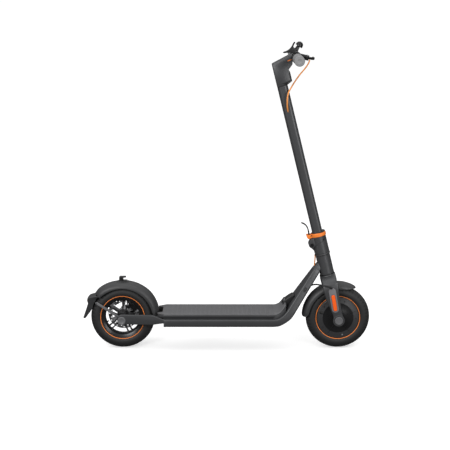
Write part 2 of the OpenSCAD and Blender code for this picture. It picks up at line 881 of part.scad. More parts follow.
upper_cable_route = [
    [325, 98, 1135], [321, 92, 1124], [308, 84, 1105], [285, 60, 1081], [264, 20, 1058], [250, -12, 1041],
    [239, -30, 1024], [234, -36, 1006], [233, -36, 984], [234, -30, 964], [237, -20, 947]
];
module upper_brake_cable() color(orange)
    cable(upper_cable_route, 2.5);

neck_cable_route = [
    [357, 10, 380.6], [353.8, 10, 379.3], [351.8, 10, 375.5], [352, 10, 368], [351.8, 10, 358],
    [350.8, 10, 347], [350, 10, 338], [350.8, 10, 330], [353, 10, 323]
];
module neck_brake_cable() color(orange)
    cable(neck_cable_route, 2.5);

motor_cable_route = [
    [322, -16, 252], [333, -19, 256], [345, -28, 261.5], [355, -42, 265.5], [364, -56, 268],
    [376, -69, 269.5], [390, -75, 268.8], [402, -76, 266], [408.6, -75.2, 263.5], [412, -74.4, 261]
];
module motor_cable() color(black)
    cable(motor_cable_route, 3);

deck_tray();
neck_tube();
head_tube();
deck_mat();
bottom_cover();
battery_pack();
controller();
charge_housing();
charge_cap();
deck_screws();
rear_arm_left();
rear_arm_right();
rear_fender();
fender_stays();
fender_hook();
tail_light();
rear_axle();
rear_axle_caps();
brake_caliper();
brake_pads();
caliper_arm();
rear_brake_cable();
kickstand_bracket();
kickstand_leg();
headset_bearings();
rear_tyre();
rear_rim();
brake_rotor();
rear_bearings();
front_tyre();
motor_shell();
hub_cover();
front_bearings();
fork();
fork_covers();
fork_reflectors();
front_fender();
front_axle();
front_axle_caps();
motor_stator();
folding_base();
hinge_pin();
motor_cable();
neck_brake_cable();
stem_foot();
stem_tube();
lock_collar();
fold_lever();
stem_head();
dashboard();
power_button();
headlight();
handlebar();
grips();
bar_clamps();
bell();
bell_striker();
throttle_paddle();
brake_lever();
upper_brake_cable();
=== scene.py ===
import json
import math

import bmesh
import bpy
from mathutils import Matrix, Vector

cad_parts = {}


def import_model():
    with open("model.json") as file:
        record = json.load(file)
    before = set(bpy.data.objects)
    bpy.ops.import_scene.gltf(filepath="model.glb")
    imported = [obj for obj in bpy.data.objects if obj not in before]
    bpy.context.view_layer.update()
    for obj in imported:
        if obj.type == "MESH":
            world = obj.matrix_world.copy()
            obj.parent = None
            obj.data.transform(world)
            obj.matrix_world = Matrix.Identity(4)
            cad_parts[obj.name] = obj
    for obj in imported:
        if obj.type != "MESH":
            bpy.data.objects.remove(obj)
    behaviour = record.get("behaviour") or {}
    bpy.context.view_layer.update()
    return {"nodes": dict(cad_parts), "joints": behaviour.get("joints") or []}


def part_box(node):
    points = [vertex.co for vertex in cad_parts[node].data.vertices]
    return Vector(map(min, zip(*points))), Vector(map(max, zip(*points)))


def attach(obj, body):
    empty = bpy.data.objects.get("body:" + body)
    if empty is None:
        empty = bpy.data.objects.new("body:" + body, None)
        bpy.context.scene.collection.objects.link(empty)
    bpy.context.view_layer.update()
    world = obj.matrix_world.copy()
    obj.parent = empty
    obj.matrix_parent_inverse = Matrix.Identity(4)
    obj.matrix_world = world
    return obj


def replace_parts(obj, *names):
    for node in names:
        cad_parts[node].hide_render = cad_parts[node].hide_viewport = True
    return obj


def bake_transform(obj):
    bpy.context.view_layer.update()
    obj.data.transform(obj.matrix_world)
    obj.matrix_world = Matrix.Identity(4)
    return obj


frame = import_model()

# Lengths below are millimetres in the row frame, until a mesh is made in metres.
MM = 0.001


# ---------- places taken from the CAD model ----------

def centre_of(node):
    """The middle of a CAD node's box, in millimetres."""
    low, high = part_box(node)
    return (low + high) * 0.5 / MM


def joint(name):
    return next(j for j in frame["joints"] if j["name"] == name)


REAR = centre_of("rear_tyre")
FRONT = centre_of("front_tyre")
TYRE_R = (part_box("rear_tyre")[1].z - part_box("rear_tyre")[0].z) / MM / 2
BAR = centre_of("grips")
STEER_AXIS = Vector(joint("steering")["axis"])
SIN_R, COS_R = -STEER_AXIS.x, STEER_AXIS.z
DECK_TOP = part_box("battery_pack")[1].z / MM + 14
DECK_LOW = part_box("deck_tray")[0].z / MM
BAR_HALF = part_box("grips")[1].y / MM


def world(x, y, z):
    return Vector((x, y, z))


def steer(n, y, s):
    """A point in the leaned-back steering frame: n forwards, s up the steering axis from the axle."""
    return Vector((
        FRONT.x + n * COS_R - s * SIN_R,
        y,
        FRONT.z + n * SIN_R + s * COS_R,
    ))


def at_bar(f, y, u):
    """A point measured from the handlebar's axis: f forwards and u up."""
    return Vector((BAR.x + f, y, BAR.z + u))


def at_rear(x, y, z):
    return Vector((REAR.x + x, y, REAR.z + z))


def at_front(x, y, z):
    return Vector((FRONT.x + x, y, FRONT.z + z))


def polar(r, degrees):
    a = math.radians(degrees)
    return r * math.cos(a), r * math.sin(a)


# ---------- materials ----------

def new_material(name, colour, rough, metal=0.0):
    m = bpy.data.materials.new(name)
    m.use_nodes = True
    b = m.node_tree.nodes["Principled BSDF"]
    b.inputs["Base Color"].default_value = (*colour, 1)
    b.inputs["Roughness"].default_value = rough
    b.inputs["Metallic"].default_value = metal
    return m, m.node_tree, b


def link(tree, a, b):
    tree.links.new(a, b)


def noise(tree, scale, detail=3.0, stretch=(1, 1, 1)):
    """A noise in the piece's own coordinates, at a scale in repeats per metre."""
    coords = tree.nodes.new("ShaderNodeTexCoord")
    mapping = tree.nodes.new("ShaderNodeMapping")
    mapping.inputs["Scale"].default_value = stretch
    tex = tree.nodes.new("ShaderNodeTexNoise")
    tex.inputs["Scale"].default_value = scale
    tex.inputs["Detail"].default_value = detail
    link(tree, coords.outputs["Object"], mapping.inputs["Vector"])
    link(tree, mapping.outputs["Vector"], tex.inputs["Vector"])
    return tex


def ranged(tree, value, low, high):
    r = tree.nodes.new("ShaderNodeMapRange")
    r.inputs["To Min"].default_value = low
    r.inputs["To Max"].default_value = high
    link(tree, value, r.inputs["Value"])
    return r.outputs["Result"]


def mixed(tree, factor, a, b):
    mix = tree.nodes.new("ShaderNodeMix")
    mix.data_type = "RGBA"
    mix.inputs["A"].default_value = (*a, 1)
    mix.inputs["B"].default_value = (*b, 1)
    link(tree, factor, mix.inputs["Factor"])
    return mix.outputs["Result"]


def bump(tree, height, strength, distance):
    node = tree.nodes.new("ShaderNodeBump")
    node.inputs["Strength"].default_value = strength
    node.inputs["Distance"].default_value = distance
    link(tree, height, node.inputs["Height"])
    return node.outputs["Normal"]


def surface(name, colour, rough, metal=0.0, grain=900, depth=0.25, vary=0.12, spread=0.06, stretch=(1, 1, 1)):
    """A painted, moulded or metal surface with slow colour changes and a fine grain."""
    m, tree, b = new_material(name, colour, rough, metal)
    slow = noise(tree, 14, 4)
    shade = ranged(tree, slow.outputs["Fac"], 0, 1)
    dark = tuple(c * (1 - vary) for c in colour)
    light = tuple(min(1, c * (1 + vary)) for c in colour)
    link(tree, mixed(tree, shade, dark, light), b.inputs["Base Color"])
    fine = noise(tree, grain, 2, stretch)
    link(tree, ranged(tree, fine.outputs["Fac"], rough - spread, rough + spread), b.inputs["Roughness"])
    link(tree, bump(tree, fine.outputs["Fac"], depth, 0.00012), b.inputs["Normal"])
    return m


def edge_worn(m, colour, amount=0.5):
    """Lightens a surface along its convex edges, as handling polishes it."""
    tree = m.node_tree
    b = tree.nodes["Principled BSDF"]
    source = b.inputs["Base Color"].links[0].from_socket
    geometry = tree.nodes.new("ShaderNodeNewGeometry")
    ramp = tree.nodes.new("ShaderNodeMapRange")
    ramp.inputs["From Min"].default_value = 0.52
    ramp.inputs["From Max"].default_value = 0.62
    ramp.inputs["To Max"].default_value = amount
    link(tree, geometry.outputs["Pointiness"], ramp.inputs["Value"])
    mix = tree.nodes.new("ShaderNodeMix")
    mix.data_type = "RGBA"
    mix.inputs["B"].default_value = (*colour, 1)
    link(tree, ramp.outputs["Result"], mix.inputs["Factor"])
    link(tree, source, mix.inputs["A"])
    link(tree, mix.outputs["Result"], b.inputs["Base Color"])
    return m


def make_materials():
    paint = edge_worn(
        surface("charcoal_paint", (0.058, 0.059, 0.062), 0.4, 0.35, grain=1600, depth=0.35),
        (0.12, 0.12, 0.125))
    return {
        "paint": paint,
        "guard": surface("guard_plastic", (0.034, 0.0345, 0.036), 0.45, grain=2200, depth=0.6),
        "black": surface("black_plastic", (0.012, 0.012, 0.0125), 0.38, grain=2400, depth=0.5),
        "satin": surface("satin_black_metal", (0.014, 0.014, 0.015), 0.3, 0.3, grain=1800, depth=0.2),
        "mat": surface("mat_rubber", (0.115, 0.115, 0.12), 0.7, grain=1500, depth=0.8, vary=0.08),
        "grip": surface("grip_rubber", (0.24, 0.24, 0.242), 0.62, grain=2600, depth=0.7, vary=0.05),
        "cap": surface("grey_cap", (0.13, 0.13, 0.135), 0.42, grain=2000, depth=0.3),
        "inlay": surface("leg_inlay", (0.17, 0.167, 0.175), 0.4, grain=2000, depth=0.3),
        "tyre": surface("tyre_rubber", (0.0125, 0.0125, 0.013), 0.62, grain=1400, depth=0.9, vary=0.2),
        "orange": surface("orange_anodised", (1.0, 0.25, 0.035), 0.42, 0.0, grain=1800, depth=0.2, vary=0.06),
        "stripe": surface("orange_stripe", (1.0, 0.26, 0.04), 0.5, grain=1800, depth=0.2, vary=0.08),
        "reflector": surface("orange_reflector", (1.0, 0.13, 0.018), 0.22, grain=500, depth=0.5, vary=0.05),
        "cable": surface("orange_sheath", (1.0, 0.36, 0.08), 0.42, grain=1800, depth=0.3, vary=0.05),
        "sheath": surface("black_sheath", (0.012, 0.012, 0.0125), 0.5, grain=1800, depth=0.4),
        "steel": surface("brushed_steel", (0.56, 0.57, 0.59), 0.3, 1.0, grain=260, depth=0.35,
                         stretch=(1, 1, 9)),
        "rotor": surface("rotor_steel", (0.42, 0.42, 0.43), 0.42, 0.3, grain=260, depth=0.3),
        "cover": surface("cover_ring", (0.04, 0.04, 0.042), 0.42, 0.2, grain=1800, depth=0.3),
        "bright": surface("polished_steel", (0.75, 0.76, 0.78), 0.16, 1.0, grain=400, depth=0.1),
        "copper": surface("enamelled_copper", (0.55, 0.22, 0.09), 0.35, 0.9, grain=700, depth=0.8),
        "battery": surface("battery_wrap", (0.04, 0.09, 0.2), 0.35, grain=120, depth=0.5),
        "lining": surface("pad_lining", (0.16, 0.1, 0.07), 0.85, grain=1500, depth=1.0),
        "alloy": surface("cast_alloy", (0.5, 0.51, 0.52), 0.45, 1.0, grain=1200, depth=0.6),
        "glass": surface("display_glass", (0.006, 0.006, 0.0065), 0.08, grain=200, depth=0.02),
        "lens": surface("lamp_lens", (0.75, 0.78, 0.8), 0.12, grain=300, depth=0.3),
        "red": surface("red_lens", (0.32, 0.006, 0.006), 0.15, grain=240, depth=0.6),
    }


MAT = make_materials()


# ---------- mesh building ----------

def finish_mesh(name, bm, mat, body, bevel=0.0, segments=2, sharp=32, subdivide=0):
    """Turns a bmesh in millimetres into a smooth-shaded piece that rides on a body."""
    bmesh.ops.remove_doubles(bm, verts=bm.verts, dist=1e-4)
    bmesh.ops.recalc_face_normals(bm, faces=bm.faces)
    for v in bm.verts:
        v.co *= MM
    mesh = bpy.data.meshes.new(name)
    bm.to_mesh(mesh)
    bm.free()
    piece = bpy.data.objects.new(name, mesh)
    bpy.context.scene.collection.objects.link(piece)
    mods = []
    if bevel:
        mod = piece.modifiers.new("bevel", "BEVEL")
        mod.width = bevel * MM
        mod.segments = segments
        mod.limit_method = "ANGLE"
        mod.angle_limit = math.radians(sharp)
        mod.use_clamp_overlap = True
        mods.append(mod)
    if subdivide:
        mod = piece.modifiers.new("smooth", "SUBSURF")
        mod.levels = mod.render_levels = subdivide
        mods.append(mod)
    if mods:
        bpy.context.view_layer.update()
        done = piece.evaluated_get(bpy.context.evaluated_depsgraph_get())
        baked = bpy.data.meshes.new_from_object(done)
        piece.modifiers.clear()
        piece.data = baked
        mesh = baked
    for p in mesh.polygons:
        p.use_smooth = True
    mesh.set_sharp_from_angle(angle=math.radians(sharp))
    mesh.materials.clear()
    mesh.materials.append(MAT[mat])
    if body:
        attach(piece, body)
    return piece


def loft(name, sections, mat, body, closed=False, caps=True, **more):
    """Joins rings of the same number of points, one after another."""
    bm = bmesh.new()
    rings = [[bm.verts.new(p) for p in ring] for ring in sections]
    count = len(rings[0])
    pairs = list(zip(rings, rings[1:]))
    if closed:
        pairs.append((rings[-1], rings[0]))
    for a, b in pairs:
        for i in range(count):
            j = (i + 1) % count
            bm.faces.new((a[i], a[j], b[j], b[i]))
    if caps and not closed:
        bm.faces.new(list(reversed(rings[0])))
        bm.faces.new(rings[-1])
    return finish_mesh(name, bm, mat, body, **more)


def extrude(name, outline, y0, y1, mat, body, place=world, **more):
    """A flat outline of (x, z) points, given a thickness from y0 to y1."""
    a = [place(x, y0, z) for x, z in outline]
    b = [place(x, y1, z) for x, z in outline]
    return loft(name, [a, b], mat, body, **more)


def revolve(name, profile, mat, body, place=world, a0=0.0, a1=360.0, steps=128, shape=None, **more):
    """Turns a closed (radius, y) profile about the Y axis through place's origin."""
    full = abs(a1 - a0) >= 360
    count = steps if full else steps + 1
    rings = []
    for i in range(count):
        a = a0 + (a1 - a0) * i / steps
        ring = []
        for k, (r, y) in enumerate(profile):
            if shape:
                r, y = shape(a, k, r, y)
            x, z = polar(r, a)
            ring.append(place(x, y, z))
        rings.append(ring)
    return loft(name, rings, mat, body, closed=full, caps=not full, **more)


def turned(name, profile, mat, body, place, steps=64, **more):
    """Turns a closed (radius, s) profile about a frame's own upright axis."""
    rings = []
    for i in range(steps):
        rings.append([place(*polar(r, 360 * i / steps), s) for r, s in profile])
    return loft(name, rings, mat, body, closed=True, **more)


def round_rect(w, h, r, seg=6):
    """A rectangle of full width w and height h with round corners, as (a, b) points."""
    points = []
    for cx, cy, start in ((w / 2 - r, h / 2 - r, 0), (r - w / 2, h / 2 - r, 90),
                          (r - w / 2, r - h / 2, 180), (w / 2 - r, r - h / 2, 270)):
        for i in range(seg + 1):
            dx, dy = polar(r, start + 90 * i / seg)
            points.append((cx + dx, cy + dy))
    return points


def circle(r, count=24, cx=0.0, cy=0.0):
    return [(cx + polar(r, 360 * i / count)[0], cy + polar(r, 360 * i / count)[1]) for i in range(count)]


def arc(cx, cy, r, a0, a1, steps=8):
    return [(cx + polar(r, a0 + (a1 - a0) * i / steps)[0], cy + polar(r, a0 + (a1 - a0) * i / steps)[1])
            for i in range(steps + 1)]


def curve(points, steps=8):
    """A smooth curve through points of any size."""
    p = [Vector(q) for q in points]
    out = []
    for i in range(len(p) - 1):
        a, b, c, d = p[max(i - 1, 0)], p[i], p[i + 1], p[min(i + 2, len(p) - 1)]
        for j in range(steps):
            t = j / steps
            out.append(0.5 * (2 * b + (c - a) * t + (2 * a - 5 * b + 4 * c - d) * t * t
                              + (3 * b - a - 3 * c + d) * t ** 3))
    out.append(p[-1])
    return out


def sweep(name, path, section, mat, body, up=Vector((0, 1, 0)), **more):
    """Carries a section along a path. section(i, count) gives (side, up) offsets."""
    rings = []
    count = len(path)
    for i, p in enumerate(path):
        t = (path[min(i + 1, count - 1)] - path[max(i - 1, 0)]).normalized()
        side = up.cross(t).normalized()
        top = t.cross(side)
        rings.append([p + side * a + top * b for a, b in section(i, count)])
    return loft(name, rings, mat, body, **more)


def cable(name, route, r, mat, body, steps=8, sides=14, lead=Vector((0.15, 0.35, 1))):
    path = curve([Vector(q) for q in route], steps)
    ring = circle(r, sides)
    return sweep(name, path, lambda i, n: ring, mat, body, up=lead)


def rod(name, a, b, r, mat, body, chamfer=0.0, sides=32):
    """A round bar with broken edges between two points, turned as one closed profile."""
    a, b = Vector(a), Vector(b)
    axis = (b - a).normalized()
    helper = Vector((0, 0, 1)) if abs(axis.z) < 0.9 else Vector((1, 0, 0))
    u = axis.cross(helper).normalized()
    w = axis.cross(u)
    length = (b - a).length
    c = chamfer
    stations = [(0, r - c), (c, r), (length - c, r), (length, r - c)] if c else [(0, r), (length, r)]
    rings = []
    for d, radius in stations:
        rings.append([a + axis * d + u * x + w * y for x, y in circle(radius, sides)])
    return loft(name, rings, mat, body)


def bolt(name, at, axis, r, h, body, mat="steel", socket=True):
    """A socket-head screw: a crowned head with a hex recess."""
    axis = Vector(axis).normalized()
    helper = Vector((0, 0, 1)) if abs(axis.z) < 0.9 else Vector((1, 0, 0))
    u = axis.cross(helper).normalized()
    w = axis.cross(u)
    base = Vector(at)
    sides = 24
    profile = [(r, 0), (r, h * 0.75), (r * 0.88, h)]
    rings = [[base + axis * d + u * x + w * y for x, y in circle(radius, sides)] for radius, d in profile]
    if socket:
        for radius, d in ((r * 0.5, h), (r * 0.46, h * 0.35)):
            ring = []
            for i in range(sides):
                a = 360 * i / sides
                flat = math.cos(math.radians(30)) / math.cos(math.radians(a % 60 - 30))
                x, y = polar(radius * flat * 1.1, a)
                ring.append(base + axis * d + u * x + w * y)
            rings.append(ring)
    return loft(name, rings, mat, body)


def join(name, pieces):
    """Makes one piece of several that share a body and a material."""
    first = pieces[0]
    bm = bmesh.new()
    for p in pieces:
        bm.from_mesh(p.data)
    mesh = first.data
    bm.to_mesh(mesh)
    bm.free()
    for p in mesh.polygons:
        p.use_smooth = True
    for p in pieces[1:]:
        bpy.data.objects.remove(p)
    first.name = name
    return first


def both(build):
    """Builds the piece for the right side (-1) and the left side (+1)."""
    for sign, side in ((-1, "right"), (1, "left")):
        build(sign, side)


# ---------- camera, floor and light ----------

def make_camera():
    """A long lens from the scooter's right side, a little above the bar."""
    data = bpy.data.cameras.new("camera")
    data.sensor_width = 36
    data.lens = 95.73
    cam = bpy.data.objects.new("camera", data)
    cam.location = (-0.0047, -4.6, 1.4789)
    cam.rotation_euler = (math.radians(90 - 12.033), 0, 0)
    bpy.context.scene.collection.objects.link(cam)
    bpy.context.scene.camera = cam


def make_stage():
    bm = bmesh.new()
    size = 90
    for x, y in ((-size, -size), (size, -size), (size, size), (-size, size)):
        bm.verts.new((x, y, 0))
    bm.faces.new(bm.verts)
    mesh = bpy.data.meshes.new("floor")
    bm.to_mesh(mesh)
    bm.free()
    floor = bpy.data.objects.new("floor", mesh)
    bpy.context.scene.collection.objects.link(floor)
    m, _, b = new_material("pale_floor", (0.9, 0.9, 0.9), 0.9)
    b.inputs["Specular IOR Level"].default_value = 0.0
    b.inputs["Emission Color"].default_value = (1, 1, 1, 1)
    b.inputs["Emission Strength"].default_value = 0.42
    mesh.materials.append(m)
    floor.visible_glossy = False
    floor.visible_diffuse = False


def area(name, at, target, size, power, size_y=None):
    data = bpy.data.lights.new(name, "AREA")
    data.energy = power
    data.shape = "RECTANGLE"
    data.size = size
    data.size_y = size_y or size
    lamp = bpy.data.objects.new(name, data)
    lamp.location = at
    lamp.rotation_euler = (Vector(target) - Vector(at)).to_track_quat("-Z", "Y").to_euler()
    bpy.context.scene.collection.objects.link(lamp)


def make_light():
    scene = bpy.context.scene
    scene.view_settings.view_transform = "Standard"
    sky = bpy.data.worlds.new("studio")
    scene.world = sky
    sky.use_nodes = True
    tree = sky.node_tree
    background = tree.nodes["Background"]
    coords = tree.nodes.new("ShaderNodeTexCoord")
    split = tree.nodes.new("ShaderNodeSeparateXYZ")
    link(tree, coords.outputs["Generated"], split.inputs["Vector"])
    rise = tree.nodes.new("ShaderNodeMapRange")
    rise.interpolation_type = "SMOOTHSTEP"
    rise.inputs["From Min"].default_value = 0.15
    rise.inputs["From Max"].default_value = 0.75
    rise.inputs["To Min"].default_value = 0.1
    rise.inputs["To Max"].default_value = 0.85
    link(tree, split.outputs["Z"], rise.inputs["Value"])
    path = tree.nodes.new("ShaderNodeLightPath")
    pick = tree.nodes.new("ShaderNodeMix")
    pick.data_type = "FLOAT"
    link(tree, path.outputs["Is Camera Ray"], pick.inputs["Factor"])
    link(tree, rise.outputs["Result"], pick.inputs["A"])
    pick.inputs["B"].default_value = 1.0
    background.inputs["Color"].default_value = (1, 1, 1, 1)
    link(tree, pick.outputs["Result"], background.inputs["Strength"])
    area("key_left", (-2.4, -4.0, 2.2), (0, 0, 0.6), 2.0, 125, 2.0)
    area("fill_right", (2.6, -3.8, 1.4), (0, 0, 0.5), 1.6, 78, 2.0)
    area("top", (0, -0.6, 3.4), (0, 0, 0.3), 2.4, 14, 1.6)


make_camera()
make_stage()
make_light()


# ---------- wheels ----------

def tyre(name, place, body):
    """A tyre with a ribbed sidewall, ring grooves and shoulder sipes."""
    half = 26.5
    crown = TYRE_R - half
    inner = 83
    angles = [-118, -112, -104, -98, -92, -84, -78, -70, -62, -54, -46, -40, -36, -32, -24, -16, -12, -8]
    angles += [0] + [-a for a in reversed(angles)]
    profile = [(inner, -20.8)]
    for t in angles:
        c, s = math.cos(math.radians(t)), math.sin(math.radians(t))
        profile.append((crown + half * c, half * s))
    profile.append((inner, 20.8))
    profile += [(inner + 2, 17), (inner + 12, 20), (crown + 19, 0), (inner + 12, -20), (inner + 2, -17)]
    tread = {i + 1: t for i, t in enumerate(angles)}

    def shape(a, k, r, y):
        t = tread.get(k)
        if t is None:
            return r, y
        cut = 0.0
        if abs(t) in (36, 12):
            cut = 1.7
        if 40 <= abs(t) <= 62 and round(a / 1.25) % 6 == (0 if t < 0 else 3):
            cut = 1.6
        if abs(t) == 24 and round(a / 1.25) % 8 == (1 if t < 0 else 5):
            cut = 1.3
        if abs(t) in (98, 84):
            cut = -0.7
        c, s = math.cos(math.radians(t)), math.sin(math.radians(t))
        return r - cut * c * (1 if cut > 0 else 0), y - (cut * s if cut > 0 else cut * s)

    piece = revolve(name, profile, "tyre", body, place, steps=288, shape=shape, sharp=40)
    for sign, side in ((-1, "right"), (1, "left")):
        ring = [(85.9, sign * 22.6), (88.1, sign * 23.3), (88.1, sign * 24.4), (87.4, sign * 24.7),
                (86.3, sign * 24.3), (85.9, sign * 23.9)]
        revolve(f"{name}_stripe_{side}", ring, "stripe", body, place, steps=180)
    return piece


def rear_wheel():
    body = "rear_wheel"
    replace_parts(tyre("rear_tyre_tread", at_rear, body), "rear_tyre")
    half = [(84.5, 0), (84.5, 17), (86.3, 20.5), (85.6, 22.3), (83.6, 22.6), (81.5, 21.5), (79, 19),
            (73, 17.4),
            (70, 15.5), (68.6, 12.5), (68, 7), (68, 0)]
    profile = [(r, -y) for r, y in reversed(half)] + half[1:-1]
    rim = revolve("rear_rim_ring", profile, "satin", body, at_rear, steps=160, sharp=40)
    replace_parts(rim, "rear_rim")
    hub = [(10, -30.5), (20.5, -30.5), (22, -29), (22.5, -20), (25, -13), (25, 13), (22.5, 20), (20, 29),
           (18, 30), (18, 36.4), (10, 36.4)]
    piece = revolve("rear_hub", hub, "satin", body, at_rear, steps=72)
    spokes = []
    for k in range(5):
        for j in (-1, 1):
            turn = 78.5 + 72 * k

            def place(r, y, q, turn=turn):
                a = math.radians(turn)
                return at_rear(r * math.cos(a) - q * math.sin(a), y, r * math.sin(a) + q * math.cos(a))

            rings = []
            for r, w, d, q in ((19, 7.5, 20, 5.6), (27, 5.8, 15, 6.4), (40, 4.8, 12, 7), (56, 4.8, 12, 7.6),
                               (65, 5.8, 17, 8.2), (71, 8.5, 25, 8.8)):
                rings.append([place(r, y, j * q + o) for o, y in round_rect(w, d, w * 0.36, 3)])
            spokes.append(loft("spoke", rings, "satin", body))
    piece = join("rear_spokes", spokes)
    bolts = []
    for k in range(6):
        x, z = polar(22.5, 60 * k + 30)
        bolts.append(bolt("rotor_bolt", at_rear(x, 38.4, z), (0, 1, 0), 3, 2.6, body))
    join("rotor_bolts", bolts)
    a, c = polar(76, 200), polar(60, 200)
    rod("rear_valve", at_rear(a[0], 2, a[1]), at_rear(c[0], 2, c[1]), 2.6, "black", body, 0.6)


def motor_cover(sign, side):
    """A cover of the hub motor: a dished ring round a flatter centre with five thin ribs."""
    body = "front_wheel"
    face = [(61, 22), (61, 28.2), (59, 28.4), (36, 30.2), (33, 31.2), (20, 31.8), (17.5, 33.4), (12.5, 33.4),
            (12.5, 22)]
    rim = [(83, 19), (83, 24), (80.5, 25.8), (76, 26.4), (63.5, 29.2), (61.5, 29.6), (60.6, 28.6), (60, 22),
           (60, 19)]
    ring = revolve(f"motor_cover_ring_{side}", [(r, sign * y) for r, y in rim], "cover", body, at_front,
                   steps=128, sharp=25)
    cover = revolve(f"motor_cover_{side}", [(r, sign * y) for r, y in face], "satin", body, at_front,
                    steps=128, sharp=25)
    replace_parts(cover, "hub_cover", "motor_shell")
    pieces = []
    for k in range(5):
        turn = math.radians(22 + 72 * k) if sign < 0 else math.radians(158 - 72 * k)

        def place(r, y, q, turn=turn):
            return at_front(r * math.cos(turn) - q * math.sin(turn), sign * y,
                            r * math.sin(turn) + q * math.cos(turn))

        rings = []
        for r, y, w in ((31, 30.6, 1.2), (34, 31.9, 1.6), (57, 30.1, 1.3), (62, 30.5, 1.2), (75, 27.3, 1.0),
                        (78, 26, 0.8)):
            rings.append([place(r, y - 2.5, -w), place(r, y, -w * 0.5), place(r, y, w * 0.5),
                          place(r, y - 2.5, w)])
        pieces.append(loft("rib", rings, "satin", body))
    ribs = join(f"motor_cover_ribs_{side}", pieces)
    bolts = []
    for k in range(5):
        x, z = polar(71.5, (-75 + 72 * k) if sign < 0 else (255 - 72 * k))
        bolts.append(bolt("cover_bolt", at_front(x, sign * 26.6, z), (0, sign, 0), 2.7, 1.8, body,
                          "black" if k else "rotor"))
    join(f"motor_cover_bolts_{side}", bolts[1:])


def front_wheel():
    body = "front_wheel"
    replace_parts(tyre("front_tyre_tread", at_front, body), "front_tyre")
    drum = revolve("motor_drum", [(70, -19), (84.6, -19), (84.6, 19), (70, 19)], "satin", body, at_front)
    lip = [(82.5, 19), (84, 21), (86.3, 21.8), (85.4, 23.8), (83.2, 24.2), (81, 23)]
    for sign, side in ((-1, "right"), (1, "left")):
        piece = revolve(f"front_rim_lip_{side}", [(r, sign * y) for r, y in lip], "satin", body, at_front,
                        steps=160)
        motor_cover(sign, side)
    # valve in its notch, seen through the right cover
    x, z = polar(70, 161)
    extrude("valve_pocket", [(x + p[0], z + p[1]) for p in round_rect(15, 9, 3)], -29.2, -26, "black",
                    body, at_front, bevel=0.8)
    rod("front_valve", at_front(x - 5, -30, z + 2), at_front(x + 4, -30, z - 1.5), 2.2, "black", body, 0.5)


# ---------- mudguards ----------

def guard_ring(r, w, skirt, t):
    """The section of a mudguard, outside then inside, as (radius, across)."""
    fall = min(1.0, (r - skirt - 0.4) / 20)
    half = [(r - drop * fall, w * k) for drop, k in (
        (0, 0), (0.6, 0.25), (2.4, 0.5), (4.2, 0.625), (6.8, 0.75), (11, 0.85), (14.5, 0.925), (18, 0.965))]
    half.append((skirt, w))
    outer = [(rr, -y) for rr, y in reversed(half)] + half[1:]
    inner = [(skirt, w - t)]
    for (r0, y0), (r1, y1), (r2, y2) in reversed(list(zip(outer, outer[1:], outer[2:]))):
        run = math.hypot(r2 - r0, y2 - y0)
        inner.append((max(skirt, r1 - t * (y2 - y0) / run), y1 + t * (r2 - r0) / run))
    inner.append((skirt, t - w))
    return outer + inner


def guard(name, place, body, stations, mat="guard"):
    """A mudguard from stations of (angle, radius, half width, skirt radius), blended evenly."""
    rings = []
    path = curve([Vector((a, r, w)) for a, r, w, q in stations], 10)
    skirts = curve([Vector((a, q, 0)) for a, r, w, q in stations], 10)
    for p, q in zip(path, skirts):
        rings.append([place(polar(rr, p.x)[0], y, polar(rr, p.x)[1])
                      for rr, y in guard_ring(p.y, p.z, q.y, 2.4)])
    return loft(name, rings, mat, body, bevel=0.7, segments=2, sharp=50)


def mudguards():
    front = guard("front_mudguard", at_front, "steering", [
        (178, 142, 33, 128), (174, 143.5, 34.5, 120), (165, 143.5, 35.5, 117), (130, 143.5, 35.5, 117),
        (100, 143.5, 35.5, 117), (86, 143.3, 35, 118), (76, 142.8, 33.5, 121), (68, 142, 29.5, 127.5),
        (63, 141, 24, 133), (60, 139.6, 15, 137)])
    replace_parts(front, "front_fender")
    extrude("front_mudguard_bridge", [(-17, 141), (17, 141), (17, 148), (-17, 148)], -17, 17, "guard",
            "steering", steer, bevel=1.5)
    rear = guard("rear_mudguard", at_rear, "frame", [
        (2.5, 145.4, 36, 130), (8, 146.4, 39, 123), (20, 148.4, 39.5, 121), (38, 149.4, 39.5, 121),
        (60, 147.6, 39.5, 121), (85, 145.9, 39.5, 121), (100, 146, 39.5, 121), (120, 148, 39.5, 121),
        (130, 148, 39, 121), (137, 146, 37, 122)])
    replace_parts(rear, "rear_fender")
    # tail: a hollow shell round the back of the wheel, from the mudguard down to the flap's tip
    levels = [(91, -107, -88, 35.5), (88.5, -112, -92, 35.5), (86.4, -118, -94, 35), (84.8, -125, -96, 34.2),
              (83, -131, -98, 33), (80.5, -135, -100, 31.5), (77, -137.6, -103, 30), (70, -139, -106, 28.6),
              (64, -139, -109.5, 27.8), (61.5, -138, -110.5, 27.4), (60, -136.6, -111.4, 27),
              (52, -138.7, -115.5, 25.8),
              (38, -143.2, -119, 23.4), (20, -149.5, -130, 19.4), (4, -155.2, -142, 16),
              (-3, -157.8, -147, 14),
              (-6, -158, -150, 12.4)]
    rings = []
    for z, back, ahead, wide in levels:
        wall = min(2.6, (ahead - back) * 0.4)
        half = [(back, 0), (back, wide - 8), (back + min(0.8, wall), wide - 4),
                (back + min(3, 2 * wall), wide - 1),
                (min(back + 6, ahead - 0.2), wide), (ahead, wide)]
        inside = [(ahead, wide - 2.4), (min(back + 6 + wall, ahead - 0.1), wide - 2.4),
                  (min(back + 3 + wall, ahead - 0.1), wide - 3.8), (back + wall, wide - 7), (back + wall, 0)]
        right = [(x, -y) for x, y in half] + [(x, -y) for x, y in inside]
        left = [(x, y) for x, y in reversed(inside[:-1])] + [(x, y) for x, y in reversed(half[1:])]
        rings.append([at_rear(x, y, z) for x, y in right + left])
    tail = loft("tail_shell", rings, "guard", "frame", sharp=40)


